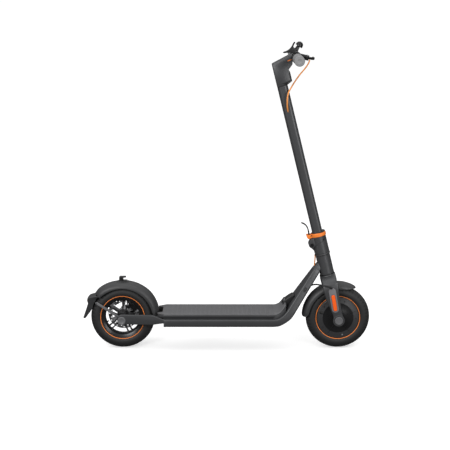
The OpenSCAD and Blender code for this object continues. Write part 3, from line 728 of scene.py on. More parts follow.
def tail_light():
    """The ribbed red lens, sunk in a black frame between the tail's cheeks."""
    low, high = (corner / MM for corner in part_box("tail_light"))
    middle = (low.z + high.z) / 2
    tall = high.z - low.z
    back = REAR.x - 139.6
    outline = round_rect(2 * high.y, tall, 4.5, 5)
    rows = [[Vector((x, y * k, middle + z * k)) for y, z in outline]
            for x, k in ((back + 4, 1), (back + 0.4, 1), (back - 0.2, 0.95))]
    lens = loft("tail_lens", rows, "red", "frame")
    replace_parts(lens, "tail_light")
    frame_outline = round_rect(2 * high.y + 4, tall + 4, 6, 5)
    loft("tail_lens_frame", [[Vector((x, y * k, middle + z * k)) for y, z in frame_outline]
                             for x, k in ((back + 5, 1), (back + 0.6, 1), (back + 0.2, 0.97))], "black",
                             "frame")
    flutes = [rod("flute", (back, y, middle - tall / 2 + 2.4), (back, y, middle + tall / 2 - 2.4), 0.9, "red",
                  "frame", 0.4, 12) for y in range(-15, 16, 5)]
    join("tail_lens_flutes", flutes)


def fender_hook():
    """The latch hook on its foot, on top of the rear mudguard."""
    foot = [(-24, 142.4), (-12, 147.5), (16, 147.5), (28, 142.4)]
    hook = [(-11, 146), (-12.5, 156), (-12, 162.5), (-10, 164.2), (13.5, 164.2), (15, 163), (15, 160.8),
            (13.6, 159.6), (4.5, 159.4), (3.2, 158), (5, 146)]
    extrude("hook_foot", foot, -15, 15, "black", "frame", at_rear, bevel=1.6)
    piece = extrude("latch_hook", hook, -8.5, 8.5, "black", "frame", at_rear, bevel=1.1)
    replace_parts(piece, "fender_hook")
    for x in (-17, 21):
        bolt("hook_screw", at_rear(x, 0, 145.3), (0, 0, 1), 2.6, 1.6, "frame", "steel")


def stays():
    """Flat stays from the axle to the tail of the mudguard."""
    def build(sign, side):
        a, b = (0, -0.5), (-101, 66)
        d = Vector((b[0] - a[0], 0, b[1] - a[1])).normalized()
        n = Vector((-d.z, 0, d.x))
        turn = math.degrees(math.atan2(n.z, n.x))
        outline = arc(a[0], a[1], 5, turn, turn - 180, 10) + arc(b[0], b[1], 5, turn + 180, turn, 10)
        outline = convex(outline)
        extrude(f"stay_eye_{side}", circle(10.5, 40, a[0], a[1] + 0.5), sign * 41.8, sign * 45.2, "cap",
                "frame",
                at_rear, bevel=0.6)
        piece = extrude(f"mudguard_stay_{side}", outline, sign * 42, sign * 45, "cap", "frame", at_rear,
                        bevel=0.9)
        if sign < 0:
            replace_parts(piece, "fender_stays")
        bolt(f"stay_screw_{side}", at_rear(b[0], sign * 44.6, b[1]), (0, sign, 0), 3, 2, "frame")
    both(build)


def convex(points):
    """The convex outline of flat points, in order."""
    points = sorted(set((round(x, 4), round(z, 4)) for x, z in points))

    def half(seq):
        out = []
        for p in seq:
            while len(out) > 1 and ((out[-1][0] - out[-2][0]) * (p[1] - out[-2][1])
                                    - (out[-1][1] - out[-2][1]) * (p[0] - out[-2][0])) <= 0:
                out.pop()
            out.append(p)
        return out[:-1]

    return half(points) + half(reversed(points))


# ---------- deck, rails and neck ----------

# Centre line of a side rail: x, z, half height, outer half width
RAIL = [(-246, 118, 15.5, 78), (-120, 118, 15.5, 78), (60, 118, 15.5, 78), (150, 118, 15.5, 78),
        (184, 118, 15.5, 77.6), (206, 120.5, 15.5, 77), (226, 130.8, 15.6, 75), (245, 146.6, 16.6, 71.5),
        (265.5, 176.4, 16.2, 65), (309.5, 245.6, 15.2, 47), (352, 311.5, 14.4, 29.5), (364, 331, 13.4, 20),
        (374, 347, 12, 12)]


def rails():
    """Each side rail runs from the rear arm along the deck and up the neck to the head tube."""
    def build(sign, side):
        stations = curve([Vector((x, z, 0)) for x, z, h, w in RAIL], 8)
        sizes = curve([Vector((h, w, 0)) for x, z, h, w in RAIL], 8)
        count = len(stations)
        rings = []
        for i, p in enumerate(stations):
            t = (stations[min(i + 1, count - 1)] - stations[max(i - 1, 0)]).normalized()
            up = Vector((-t.y, t.x, 0))
            h, w = sizes[i].x, sizes[i].y
            thick = 13.5
            ring = []
            for a, b in round_rect(thick, 2 * h, 6, 6):
                bulge = 1 - (b / h) ** 2
                y = sign * (w - thick / 2 + a - 1.2 * (1 - bulge) * (1 if a > 0 else 0))
                ring.append(Vector((p.x + up.x * b, y, p.y + up.y * b)))
            rings.append(ring)
        piece = loft(f"side_rail_{side}", rings, "paint", "frame", sharp=45)
    both(build)
    # the panel between the rails, from under the mat to the head tube
    stations = [q for q in RAIL if q[0] >= 184]
    path = curve([Vector((x, z, 0)) for x, z, h, w in stations], 8)
    sizes = curve([Vector((h, w, 0)) for x, z, h, w in stations], 8)
    rings = []
    for i, p in enumerate(path):
        t = (path[min(i + 1, len(path) - 1)] - path[max(i - 1, 0)]).normalized()
        up = Vector((-t.y, t.x, 0))
        h, w = sizes[i].x - 1.6, sizes[i].y - 9
        ring = []
        for y, b in ((w, h - 3), (w - 4, h - 1), (w * 0.55, h + 1), (0, h + 1.4), (-w * 0.55, h + 1),
                     (4 - w, h - 1), (-w, h - 3), (-w, 3 - h), (4 - w, 1 - h), (-w * 0.5, -h), (0, -h - 0.2),
                     (w * 0.5, -h), (w - 4, 1 - h), (w, 3 - h)):
            ring.append(Vector((p.x + up.x * b, y, p.y + up.y * b)))
        rings.append(ring)
    panel = loft("neck_panel", rings, "paint", "frame", sharp=45)
    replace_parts(panel, "neck_tube")
    # oval grommet on the right rail, where the motor's lead comes out
    along = Vector((0.53, 0, 0.848))
    across = Vector((0.848, 0, -0.53))
    for k, y0, y1, mat in ((1.0, -47.9, -45.5, "black"), (0.72, -48.3, -46.5, "guard")):
        ring = [Vector((309, 0, 244.5)) + across * a * k + along * b * k for a,
                b in round_rect(11, 27, 5.4, 8)]
        loft("lead_grommet" if k == 1 else "lead_grommet_plug",
             [[p + Vector((0, y, 0)) for p in ring] for y in (y0, y1)], mat, "frame", bevel=0.5)


def deck():
    """The tray between the rails, its wings beside the mudguard, and the ribbed mat."""
    top = DECK_TOP
    low = DECK_LOW
    lid = top - 4
    half = [(63.5, low), (66.8, low + 3), (66.8, lid - 16), (73.8, lid - 6.4), (73.8, lid - 0.8), (73, lid)]
    profile = [(-y, z) for y, z in reversed(half)] + half
    tray = loft("deck_box", [[Vector((x, y, z)) for y, z in profile] for x in (-247, 190)], "paint", "frame",
                bevel=0.8)
    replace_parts(tray, "deck_tray")
    both(lambda sign, side: loft(
        f"tail_wing_{side}",
        [[Vector((x, sign * y, z)) for x, y in ((-245, 43), (-270, 44.5), (-271.5, 46.5), (-271, 51),
                                                (-245, 66))]
         for z in (lid - 14, lid)], "paint", "frame", bevel=1.4))
    extrude("tail_box",
                    [(-278, 117), (-276.5, 116), (-246, 116), (-246, 138), (-276, 138), (-278, 136)],
                    -44, 44, "black", "frame", bevel=1.2)
    # mat: a plate with a rolled edge, and ribs across it in groups of three
    side_edge = [(-238, 74.5), (-242, 73.6), (-269, 55), (-271.6, 52), (-271.6, 46.5), (-269.5, 44.5),
                 (-254, 38), (-252, 35.5)]
    outline = [(188, -74.5), (188, 74.5)] + side_edge + [(x, -y) for x, y in reversed(side_edge)]
    mat = loft("deck_mat_plate", [[Vector((x, y, z)) for x, y in outline] for z in (lid, top - 0.6)], "mat",
               "frame", bevel=0.8)
    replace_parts(mat, "deck_mat")
    base = top - 0.7
    x = -232.0
    line = [(x - 1, base - 1)]
    for k in range(88):
        if k % 4:
            line += [(x, base), (x + 0.8, top - 0.05), (x + 2.3, top - 0.05), (x + 3.1, base)]
        x += 4.6
    line += [(x + 1, base), (x + 1, base - 1)]
    piece = extrude("deck_mat_ribs", line, -68, 68, "mat", "frame")
    # the mat climbs the neck's foot in a smooth ramp
    ramp = curve([Vector((186, 0, top - 4)), Vector((198, 0, top - 2.6)), Vector((211, 0, top + 3)),
                  Vector((223, 0, top + 15)), Vector((236, 0, top + 33))], 6)
    rows = []
    for i, p in enumerate(ramp):
        t = (ramp[min(i + 1, len(ramp) - 1)] - ramp[max(i - 1, 0)]).normalized()
        up = Vector((-t.z, 0, t.x))
        w = 74 - 13 * (i / (len(ramp) - 1)) ** 1.3
        rows.append([p + Vector((0, y, 0)) + up * b
                     for y, b in ((-w, 0.5), (-w + 1.2, 3.4), (-w + 3, 4), (w - 3, 4), (w - 1.2, 3.4),
                                  (w, 0.5), (w - 2, 0), (-w + 2, 0))])
    piece = loft("deck_mat_ramp", rows, "mat", "frame", sharp=40)
    # filler under the ramp
    rows = []
    for i, p in enumerate(ramp):
        w = 70 - 11 * (i / (len(ramp) - 1)) ** 1.3
        drop = 26
        rows.append([Vector((p.x, y, z)) for y,
                     z in ((-w, p.z - drop), (-w, p.z), (w, p.z), (w, p.z - drop))])
    piece = loft("ramp_core", rows, "paint", "frame", bevel=0.8)


def arms():
    """The flat rear arms that carry the axle, with their tops and ends softly broken."""
    def build(sign, side):
        tip = arc(REAR.x + 3, REAR.z + 6, 20, 90, 270, 20)
        outline = tip + [(-287, 112), (-252, 117), (-243, 117), (-243, 134.5), (-250, 134.5), (-290, 150)]
        y0, y1 = sorted((sign * 62, sign * 75))
        piece = extrude(f"rear_arm_plate_{side}", outline, y0, y1, "paint", "frame", bevel=2.6, segments=4,
                        sharp=40)
        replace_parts(piece, f"rear_arm_{side}")
        cap = [(0, 74), (16.5, 74), (16.5, 77.6), (15.2, 79.2), (11.5, 79.5), (10.2, 78.7), (0, 78.7)]
        piece = turned_y(f"axle_cap_{side}", cap, "cap", "frame", lambda x, y,
                         z: at_rear(x, sign * y, z + 1.5))
        if sign < 0:
            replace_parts(piece, "rear_axle_caps")
    both(build)


def turned_y(name, profile, mat, body, place, steps=64, **more):
    """Turns a profile that begins and ends on the axis about Y, closed by fans at its ends."""
    return revolve(name, [(max(r, 0.02), y) for r, y in profile], mat, body, place, steps=steps, **more)


def caliper():
    """The mechanical disc caliper on the left: a body, an arm and their screws."""
    turn = math.radians(40)

    def place(x, y, z):
        return at_rear(x * math.cos(turn) - z * math.sin(turn), y, x * math.sin(turn) + z * math.cos(turn))

    outline = [(39, -18), (66, -18), (68, -15), (68, -4), (70, 2), (69, 9), (65, 16), (60, 19), (40, 19),
               (38, 15), (38, -14)]
    outer = extrude("caliper_outer", outline, 42.4, 56.6, "black", "frame", place, bevel=1.8, segments=3)
    inner = extrude("caliper_inner", outline, 27.4, 32.6, "black", "frame", place, bevel=1.2)
    bridge = extrude("caliper_bridge", [(62.5, -18), (67.5, -18), (67.5, 15), (62.5, 18)], 32, 43, "black",
                     "frame", place, bevel=0.8)
    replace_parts(join("caliper_body", [outer, inner, bridge]), "brake_caliper")
    extrude("caliper_foot", [(-394, 142), (-377, 142), (-376, 158), (-392, 158)], 50, 61.8, "black", "frame",
            bevel=1.2)
    profile = [(0.02, 56.4), (12.4, 56.4), (12.4, 56.9), (11, 57.2), (0.02, 57.2)]
    revolve("caliper_ring", profile, "orange", "frame", lambda x, y, z: place(52 + x, y, z), steps=48)
    for x, z in ((45, -12), (45, 13)):
        bolt("caliper_bolt", place(x, 56.5, z), (0, 1, 0), 3.2, 3, "frame", "steel")
    arm = [(-5, 8), (0, 8.5), (22, 13.5), (28, 13), (31.5, 9), (31.5, 4), (28, 1.5), (9, -5), (5, -8),
           (-2, -8.5),
           (-7, -5), (-8, 2)]
    piece = extrude("caliper_arm_plate", [(58 + x, z) for x, z in arm], 57.5, 60.3, "steel", "brake_arm",
                    place, bevel=0.6)
    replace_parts(piece, "caliper_arm")
    bolt("cable_clamp", place(85, 60.2, 7), (0, 1, 0), 3.6, 2, "brake_arm", "steel")
    bolt("arm_pivot_screw", place(58, 60.2, 0), (0, 1, 0), 4.5, 2, "brake_arm", "steel")


def cables():
    """The orange brake cable in its three held runs, and the motor's black lead."""
    rear = [(-246, 50, 126), (-268, 51, 127), (-298, 52, 131), (-326, 54, 137), (-343, 56, 143),
            (-351, 57, 149), (-353, 57, 154)]
    piece = cable("rear_cable", rear, 2, "cable", "frame")
    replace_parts(piece, "rear_brake_cable")
    rod("rear_cable_ferrule", (-340, 55.6, 141.4), (-350, 56.9, 148.4), 2.9, "sheath", "frame", 0.5, 20)
    upper = [(325, 98, 1135), (321, 92, 1124), (308, 84, 1105), (285, 60, 1081), (264, 20, 1058),
             (250, -12, 1041), (239, -30, 1024), (234, -36, 1006), (233, -36, 984), (234, -30, 964),
             (237, -20, 947)]
    piece = cable("upper_cable", upper, 2.8, "cable", "stem", steps=10)
    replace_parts(piece, "upper_brake_cable")
    loop = [(357, 10, 380.6), (353.8, 10, 379.3), (351.8, 10, 375.5), (352, 10, 368), (351.8, 10, 358),
            (350.8, 10, 347), (350, 10, 338), (350.8, 10, 330), (353, 10, 323)]
    piece = cable("neck_cable", loop, 2.5, "cable", None, steps=10, lead=Vector((0, 1, 0)))
    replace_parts(piece, "neck_brake_cable")
    Vector(loop[-2]) * MM
    Vector(loop[1]) * MM
    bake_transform(piece)
    lead = [(322, -16, 252), (333, -19, 257), (345, -28, 263.5), (355, -42, 268), (364, -56, 270.5),
            (376, -69, 271.5), (390, -75, 270.6), (402, -76, 267.6), (408.6, -75.2, 264.5), (411, -73.6, 262)]
    piece = cable("motor_lead", lead, 3, "sheath", None, steps=10)
    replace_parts(piece, "motor_cable")
    Vector(lead[1]) * MM
    Vector(lead[-2]) * MM
    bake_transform(piece)


def port():
    """The charging port's housing behind the neck, its collar and its rubber cap."""
    outline = [(226, 160), (224.5, 166), (224.5, 184), (231, 198), (248, 211), (262, 219.5), (272, 217.5),
               (262, 186), (248, 160)]
    piece = extrude("port_housing", outline, -24, 24, "black", "frame", bevel=3.2, segments=4)
    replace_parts(piece, "charge_housing")
    a = math.radians(-63.4)

    def place(x, y, z):
        return Vector((227.5 + x * math.cos(a) + z * math.sin(a), y, 191 - x * math.sin(a) + z * math.cos(a)))

    collar = [(8.6, -0.6), (12.6, -0.6), (13.2, 0.4), (12.6, 0.9), (11.4, 0.9), (11.2, 0.2), (8.6, 0.2)]
    turned("port_collar", collar, "bright", "frame", lambda x, y, z: place(x, y, z))
    rings = []
    for z, k in ((0.4, 0.95), (0.9, 1), (2.6, 1), (3.3, 0.9)):
        outline = [(p[0] * k, p[1] * k) for p in circle(10.8, 40)]
        rings.append([place(x, y, z) for x, y in outline])
    cap = loft("port_cap_disc", rings, "black", "port_cap")
    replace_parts(cap, "charge_cap")
    tab = loft("port_cap_tab",
               [[place(x, y, z) for x, y in ((8, -5), (13, -4.6), (14, -3), (14, 3), (13, 4.6),
                                                             (8, 5))] for z in (0.6, 3)],
               "black", "port_cap", bevel=0.6)


def kickstand():
    """The side stand, folded back along the left rail, with its bracket and pin."""
    tilt = math.radians(14.7)

    def place(x, y, z):
        return Vector((-32 + x, 87 + y * math.cos(tilt) - z * math.sin(tilt),
                       110 + y * math.sin(tilt) + z * math.cos(tilt)))

    path = [place(x, 0, 0) for x in (7, 0, -20, -50, -90, -104, -109)]
    sizes = [(13, 15), (15, 18), (11, 12), (9.6, 10), (9.6, 10), (13, 13.6), (9, 10)]
    rings = []
    for p, (w, h) in zip(path, sizes):
        rings.append([p + Vector((0, b * math.cos(tilt) - c * math.sin(tilt),
                                  b * math.sin(tilt) + c * math.cos(tilt)))
                      for b, c in round_rect(w, h, min(w, h) * 0.38, 4)])
    leg = loft("stand_leg", rings, "black", "stand", bevel=0.5)
    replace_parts(leg, "kickstand_leg")
    cheek = extrude("stand_cheek", [(p[0], p[1]) for p in round_rect(30, 15, 5)], -10.5, -5.6, "satin",
                    "frame", place, bevel=0.8)
    plate = extrude("stand_plate", [(-54, 98), (-10, 98), (-10, 104), (-54, 104)], 60, 79, "satin", "frame",
                    bevel=1)
    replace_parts(plate, "kickstand_bracket")
    extrude("stand_web", [(-43, 98.2), (-21, 98.2), (-23, 112), (-41, 112)], 76, 79.6, "satin", "frame",
            bevel=0.8)
    rod("stand_pin", place(0, -11.5, 0), place(0, 7, 0), 3.6, "steel", "frame", 0.6)


# ---------- fork ----------

def fork():
    """Two legs of changing section under a crown, with the wheel end rounded."""
    # side outline of a leg: s, rear n, front n
    outline = [(-22, -6, 6), (-19, -12, 12), (-13, -18, 18), (-4, -21.6, 21.6), (6, -21.2, 21.2),
               (15, -17.8, 19.6), (28, -17.6, 19.2), (50, -21, 20.6), (92, -29, 23.5), (112, -30.2, 25.8),
               (128, -30.8, 28), (142, -31, 30), (152, -31, 31)]

    def build(sign, side):
        rings = []
        for s, rear, front in outline:
            t = max(0.0, (s - 128) / 30)
            outer = 70 - 9 * t ** 1.6
            inner = 55.2 - 12 * max(0.0, (s - 112) / 40) ** 1.6
            c = (rear + front) / 2
            w = front - rear
            ring = []
            for a, b in round_rect(w, outer - inner, 4.6, 4):
                ring.append(steer(c + a, sign * ((outer + inner) / 2 + b), s))
            rings.append(ring)
        leg = loft(f"fork_leg_{side}", rings, "paint", "steering", sharp=50)
        # raised ring round the wheel end
        profile = [(19, 69.2), (22.2, 69.2), (22.6, 70), (21.8, 70.6), (19.6, 70.6)]
        piece = revolve(f"fork_boss_{side}", [(r, sign * y) for r, y in profile], "paint", "steering",
                        lambda x, y, z: steer(x, y, z), steps=72)
        cap = [(0, 69.8), (16, 69.8), (16.2, 70.6), (15.6, 73), (14.6, 73.9), (10.4, 73.9), (9.6, 73.2),
               (0, 73.2)]
        piece = turned_y(f"front_axle_cap_{side}", cap, "cap", "steering",
                         lambda x, y, z: steer(x, sign * y, z))
        if sign < 0:
            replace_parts(piece, "front_axle_caps")
        # inlay and reflector on the outer face
        inlay = pill(14.0, 36, 136.4)
        piece = extrude(f"fork_inlay_{side}", inlay, *sorted((sign * 68.4, sign * 70.7)), "inlay", "steering",
                        steer, bevel=0.7, segments=3)
        if sign < 0:
            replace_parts(piece, "fork_covers")
        groove = pill(8.3, 41.2, 109.8)
        piece = extrude(f"fork_groove_{side}", groove, *sorted((sign * 69, sign * 70.85)), "black",
                        "steering",
                        steer, bevel=0.2)
        lens = pill(7.4, 42.1, 108.9)
        piece = extrude(f"fork_reflector_{side}", lens, *sorted((sign * 69, sign * 71.5)), "reflector",
                        "steering", steer, bevel=1.3, segments=4)
        if sign < 0:
            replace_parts(piece, "fork_reflectors")
    both(build)
    # the arch over the wheel
    path = [(-60.5, 118), (-59, 136), (-55, 149), (-44, 160), (-26, 166.4), (0, 167.5), (26, 166.4),
            (44, 160),
            (55, 149), (59, 136), (60.5, 118)]
    rings = []
    smooth = curve([Vector((y, s, 0)) for y, s in path], 5)
    for i, p in enumerate(smooth):
        t = (smooth[min(i + 1, len(smooth) - 1)] - smooth[max(i - 1, 0)]).normalized()
        up = Vector((-t.y, t.x, 0))
        k = abs(p.x) / 60
        depth = 62 - 4 * k ** 4
        high = 26 - 8 * k
        shift = 0 - 1.4 * k ** 4
        rings.append([steer(shift + a, p.x + up.x * b, p.y + up.y * b)
                      for a, b in round_rect(depth, high, 8, 4)])
    arch = loft("fork_arch", rings, "paint", "steering", sharp=50)
    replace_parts(arch, "fork")
    collar = [(26, 152), (30.4, 152), (31.2, 154), (31.2, 177), (30.2, 179), (27, 179.4), (20, 179.4),
              (20, 152)]
    piece = turned("fork_crown_ring", collar, "paint", "steering", steer)
    turned("steerer_tube", [(0.02, 180), (14.9, 180), (14.9, 269), (0.02, 269)], "steel", "steering", steer)
    turned("crown_seam", [(20, 178.6), (28.6, 178.6), (28.6, 182.4), (20, 182.4)], "black", "steering", steer)
    boot = [(0.02, 134), (4.6, 134), (4.6, 139), (3.8, 143), (0.02, 144)]
    turned("lead_boot", boot, "black", "steering", lambda x, y, s: steer(0.6 + x, -71.6 + y * 0.55, s))


def pill(r, s0, s1):
    """A slot shape from s0 up to s1 on the fork leg, leaning a little further forwards than the leg."""
    flat = arc(0, s1 - r - 80, r, 0, 180, 14) + arc(0, s0 + r - 80, r, 180, 360, 14)
    c, s = math.cos(math.radians(3.6)), math.sin(math.radians(3.6))
    return [(-1 + x * c + z * s, 80 - x * s + z * c) for x, z in flat]


# ---------- head tube and folding joint ----------

def head_and_fold():
    tube = [(20.2, 182.6), (27.6, 182.6), (28.5, 183.6), (28.5, 260.2), (27.4, 261.2), (20.2, 261.2)]
    piece = turned("head_tube_sleeve", tube, "paint", "frame", steer)
    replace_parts(piece, "head_tube")
    ring = [(15.3, 262.6), (29.8, 262.6), (31, 263.6), (31, 267.4), (30, 268.4), (15.3, 268.4)]
    piece = turned("headset_cap", ring, "paint", "steering", steer)
    turned("headset_seams", [(15.3, 261.4), (28, 261.4), (28, 269.8), (15.3, 269.8)], "black", "steering",
           steer)
    # base: a cylinder cut by the sloping seam
    steps = 96
    rows = []
    for r, low, drop in ((28.9, 269.4, None), (29.7, 270.2, None), (29.7, None, 0.75), (29.1, None, 0.1),
                         (24, None, 0.1)):
        ring = []
        for i in range(steps):
            n, y = polar(r, 360 * i / steps)
            top = 302.2 + 0.43 * (max(n, -24.5) + 24.5)
            ring.append(steer(n, y, low if low is not None else top - drop))
        rows.append(ring)
    base = loft("fold_base", rows, "paint", "steering", sharp=40)
    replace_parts(base, "folding_base")
    rows = []
    for r, up, high in ((24, 0.6, None), (29.1, 0.6, None), (29.7, 1.2, None), (29.7, None, 337.4),
                        (28.6, None, 338.6)):
        ring = []
        for i in range(steps):
            n, y = polar(r, 360 * i / steps)
            top = 302.2 + 0.43 * (max(n, -24.5) + 24.5)
            ring.append(steer(n, y, high if high is not None else min(top + up, 337.3)))
        rows.append(ring)
    foot = loft("fold_foot", rows, "paint", "stem", sharp=40)
    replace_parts(foot, "stem_foot")
    # knuckles of the hinge behind the column
    n, s = -32, 312.5

    def knuckle(name, y0, y1, body, outline, mat="paint"):
        piece = extrude(name, outline, y0, y1, mat, body, steer, bevel=1.1, segments=3, sharp=40)

    knuckle("hinge_middle", -10.8, 10.8, "steering", convex(arc(n, s, 13, 0, 360, 40)
                                                            + [(-22, 278), (-24, 276)]))
    for sign, side in ((-1, "right"), (1, "left")):
        y0, y1 = sorted((sign * 11.4, sign * 23))
        outline = convex(arc(n, s, 13, 0, 360, 40) + [(-20, 337.5), (-31, 336.5), (-20, s)])
        knuckle(f"hinge_cheek_{side}", y0, y1, "stem", outline)
        head = [(0, 23), (6.4, 23), (6.4, 24.5), (5.4, 25.3), (2.6, 25.3), (2.4, 24.2), (0, 24.2)]
        turned_y(f"hinge_pin_head_{side}", head, "satin", "steering",
                 lambda x, y, z: steer(n + x, sign * y, s + z), steps=48)
        rows = []
        for r, lift in ((3.4, -1.2), (3.4, 0.3), (2.8, 0.5), (1.2, 0.4)):
            ring = []
            for i in range(32):
                a, b = polar(r, 360 * i / 32)
                nn = 15 + a
                yy = math.sqrt(max(0.0, 29.7 ** 2 - nn ** 2)) + lift
                ring.append(steer(nn, sign * yy, 325 + b))
            rows.append(ring)
        loft(f"fold_dowel_{side}", rows, "black", "stem")
    # collar
    ring = [(21, 339.3), (30.2, 339.3), (31, 340.1), (31, 350.6), (29.8, 352), (28.4, 352.2), (27.6, 353.8),
            (26.5, 353.9), (21, 353.9)]
    piece = turned("collar_ring", ring, "orange", "stem", lambda x, y, z: steer(1.5 + x, y, z), steps=128)
    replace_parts(piece, "lock_collar")
    lip = [(20, 352), (27.6, 352), (27.9, 354.8), (27, 356), (20, 356)]
    turned("collar_liner", lip, "black", "stem", lambda x, y, z: steer(3 + x, y, z))
    for sign, side in ((-1, "right"), (1, "left")):
        outline = [(-44.5, 354), (-45, 350), (-44.5, 344), (-42, 338.8), (-37.5, 336.8), (-33, 337.6),
                   (-20, 341),
                   (-20, 351), (-34, 353)]
        lug = extrude(f"collar_lug_{side}", outline, *sorted((sign * 9.2, sign * 15)), "orange", "stem",
                      steer,
                      bevel=0.9, segments=3)
    extrude("collar_slot", [(-28.5, 347.2), (-22, 347.2), (-22, 350.4), (-28.5, 350.4)], -19.4, -12, "black",
            "stem", steer, bevel=0.4)
    # lever
    blade = curve([Vector((-36.5, 345, 0)), Vector((-33.8, 357, 0)), Vector((-32.8, 372, 0)),
                   Vector((-35.4, 386.5, 0)), Vector((-41.6, 397, 0)), Vector((-52, 405.6, 0))], 6)
    rings = []
    for i, p in enumerate(blade):
        t = (blade[min(i + 1, len(blade) - 1)] - blade[max(i - 1, 0)]).normalized()
        side_v = Vector((t.y, -t.x, 0))
        k = i / (len(blade) - 1)
        w = 16.6 + 5 * math.sin(math.pi * min(1, k * 1.2)) if k < 0.9 else 18 - 50 * (k - 0.9)
        h = 5.4 - 1.6 * k
        rings.append([steer(p.x + side_v.x * b, a, p.y + side_v.y * b)
                      for a, b in round_rect(w, h, 1.8, 3)])
    lever = loft("lever_blade", rings, "black", "release_lever", sharp=45)
    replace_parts(lever, "fold_lever")
    rod("lever_knuckle", steer(-36.5, -8.4, 346), steer(-36.5, 8.4, 346), 4.3, "black", "release_lever", 0.6)


# ---------- stem, head and display ----------

def stem():
    rings = []
    for s, k in ((353, 1), (648, 1), (945.4, 1)):
        rings.append([steer(a * k, b * k, s) for a, b in round_rect(40.6, 44, 14, 10)])
    tube = loft("stem_column", rings, "paint", "stem", sharp=50)
    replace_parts(tube, "stem_tube")
    # painted shadow: a black band round the stem's foot, just above the collar, stands in for the shade where
    # the stem meets the collar
    shadow = [(p[0], p[1]) for p in round_rect(41.6, 45, 14.5, 10)]
    loft("stem_painted_shadow_band", [[steer(a, b, s) for a, b in shadow] for s in (353.5, 356.4)], "black", "stem",
         bevel=0.6)


def head():
    """The clamp head: rounded cheeks, a dark lamp housing below and the display on top."""
    outline = [(-20.3, 945.6), (-20.3, 1033), (-19.4, 1036), (-16, 1037.6), (52, 1054.6), (60.4, 1055.4)]
    outline += [(76.2 + polar(20, a)[0], 1040.5 + polar(20, a)[1]) for a in range(130, -150, -12)]
    outline += [(55.8, 1016.7), (37.8, 1001.7), (38.2, 997), (38.8, 993), (39.4, 960), (37.4, 955.6),
                (20, 947.6), (8, 945.6)]
    rings = []
    for y, inset in ((-23.4, 3.2), (-22.4, 1.2), (-20, 0), (20, 0), (22.4, 1.2), (23.4, 3.2)):
        rings.append([steer(n, y, s) for n, s in inset_outline(outline, inset)])
    shell = loft("head_shell", rings, "paint", "stem", sharp=40)
    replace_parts(shell, "stem_head")
    # split line of the bar clamp and its two screws
    for sign, side in ((-1, "right"), (1, "left")):
        ring = [(15.9, 23.2), (20, 23.2), (20, 23.45), (19, 23.9), (16.6, 23.9), (15.9, 23.4)]
        piece = revolve(f"clamp_face_{side}", [(r, sign * y) for r, y in ring], "satin", "stem",
                        lambda x, y, z: steer(76.2 + x, y, 1040.5 + z), steps=64)
    for y in (-12, 12):
        bolt("clamp_screw", steer(93.5, y, 1049.5), steer(1, 0, 0.5) - steer(0, 0, 0), 3, 1.6, "stem")
    # lamp
    housing = [[steer(39.2 + x, a * k, 974 + b * k) for a, b in round_rect(47.6, 38, 5, 6)]
               for x, k in ((-4.4, 1), (0.6, 1), (1.2, 0.97))]
    housing += [[steer(39.2 + x, a, 973.5 + b) for a, b in round_rect(33, 33, 5.6, 6)] for x in (1.2, -1.4)]
    loft("lamp_bezel", housing, "black", "stem")
    lens = [[steer(x, a * k, 973.5 + b * k) for a, b in round_rect(30, 30, 6, 6)]
            for x, k in ((36, 1), (39.2, 1), (39.9, 0.9), (40.2, 0.5))]
    piece = loft("lamp_glass", lens, "lens", "stem")
    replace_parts(piece, "headlight")
    # painted shade: a black band along the head's lower edge stands in for the shadow under the head's side
    # face
    painted_shade_band = [(-2, 956.6), (8, 951.4), (14, 948.6), (20, 947), (37.6, 954.8), (39.8, 957.4), (40, 963.6),
            (24, 960.4),
            (8, 957.8)]
    extrude("head_painted_shade_band", painted_shade_band, -23.7, 23.7, "black", "stem", steer, bevel=0.6)
    # orange accent on each cheek below the bar
    for sign, side in ((-1, "right"), (1, "left")):
        mark = extrude(f"head_accent_{side}", [(40.5, 1032.8), (54, 1034.2), (54.8, 1037.4), (41.2, 1036.2)],
                       *sorted((sign * 23.0, sign * 23.75)), "orange", "stem", steer, bevel=0.2)
    # display on the sloping top
    t = math.radians(13.9)

    def face(x, y, z):
        return steer(-19.6 + x * math.cos(t) - z * math.sin(t), y, 1036.5 + x * math.sin(t) + z * math.cos(t))

    def slab(name, x0, x1, w, z0, z1, r, mat, **more):
        cx = (x0 + x1) / 2
        ring = round_rect(x1 - x0, w, r, 6)
        rows = []
        for z, k in ((z0, 0), (z1 - 0.5, 0), (z1, 0.6)):
            rows.append([face(cx + a - math.copysign(k, a), b - math.copysign(k, b), z) for a, b in ring])
        return loft(name, rows, mat, "stem", **more)

    panel = slab("display_panel", 3, 60, 38, -3, 0.1, 5, "glass")
    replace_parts(panel, "dashboard")
    for k in range(4):
        bar = slab(f"display_cell_{k}", 44 + 3 * k, 45.8 + 3 * k, 14, -0.2, 0.22, 0.4, "lens")
    ring = [(5.0, -1), (6.9, -1), (6.9, 0.1), (6.5, 0.45), (5.6, 0.45), (5.0, 0)]
    turned("button_ring", ring, "black", "stem", lambda x, y, z: face(12 + x, y, z), steps=48)
    top = [(0.02, -4), (4.6, -4), (4.6, 0.1), (4.1, 0.5), (0.02, 0.7)]
    key = turned("power_key_top", top, "cap", "power_key", lambda x, y, z: face(12 + x, y, z), steps=48)
    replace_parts(key, "power_button")


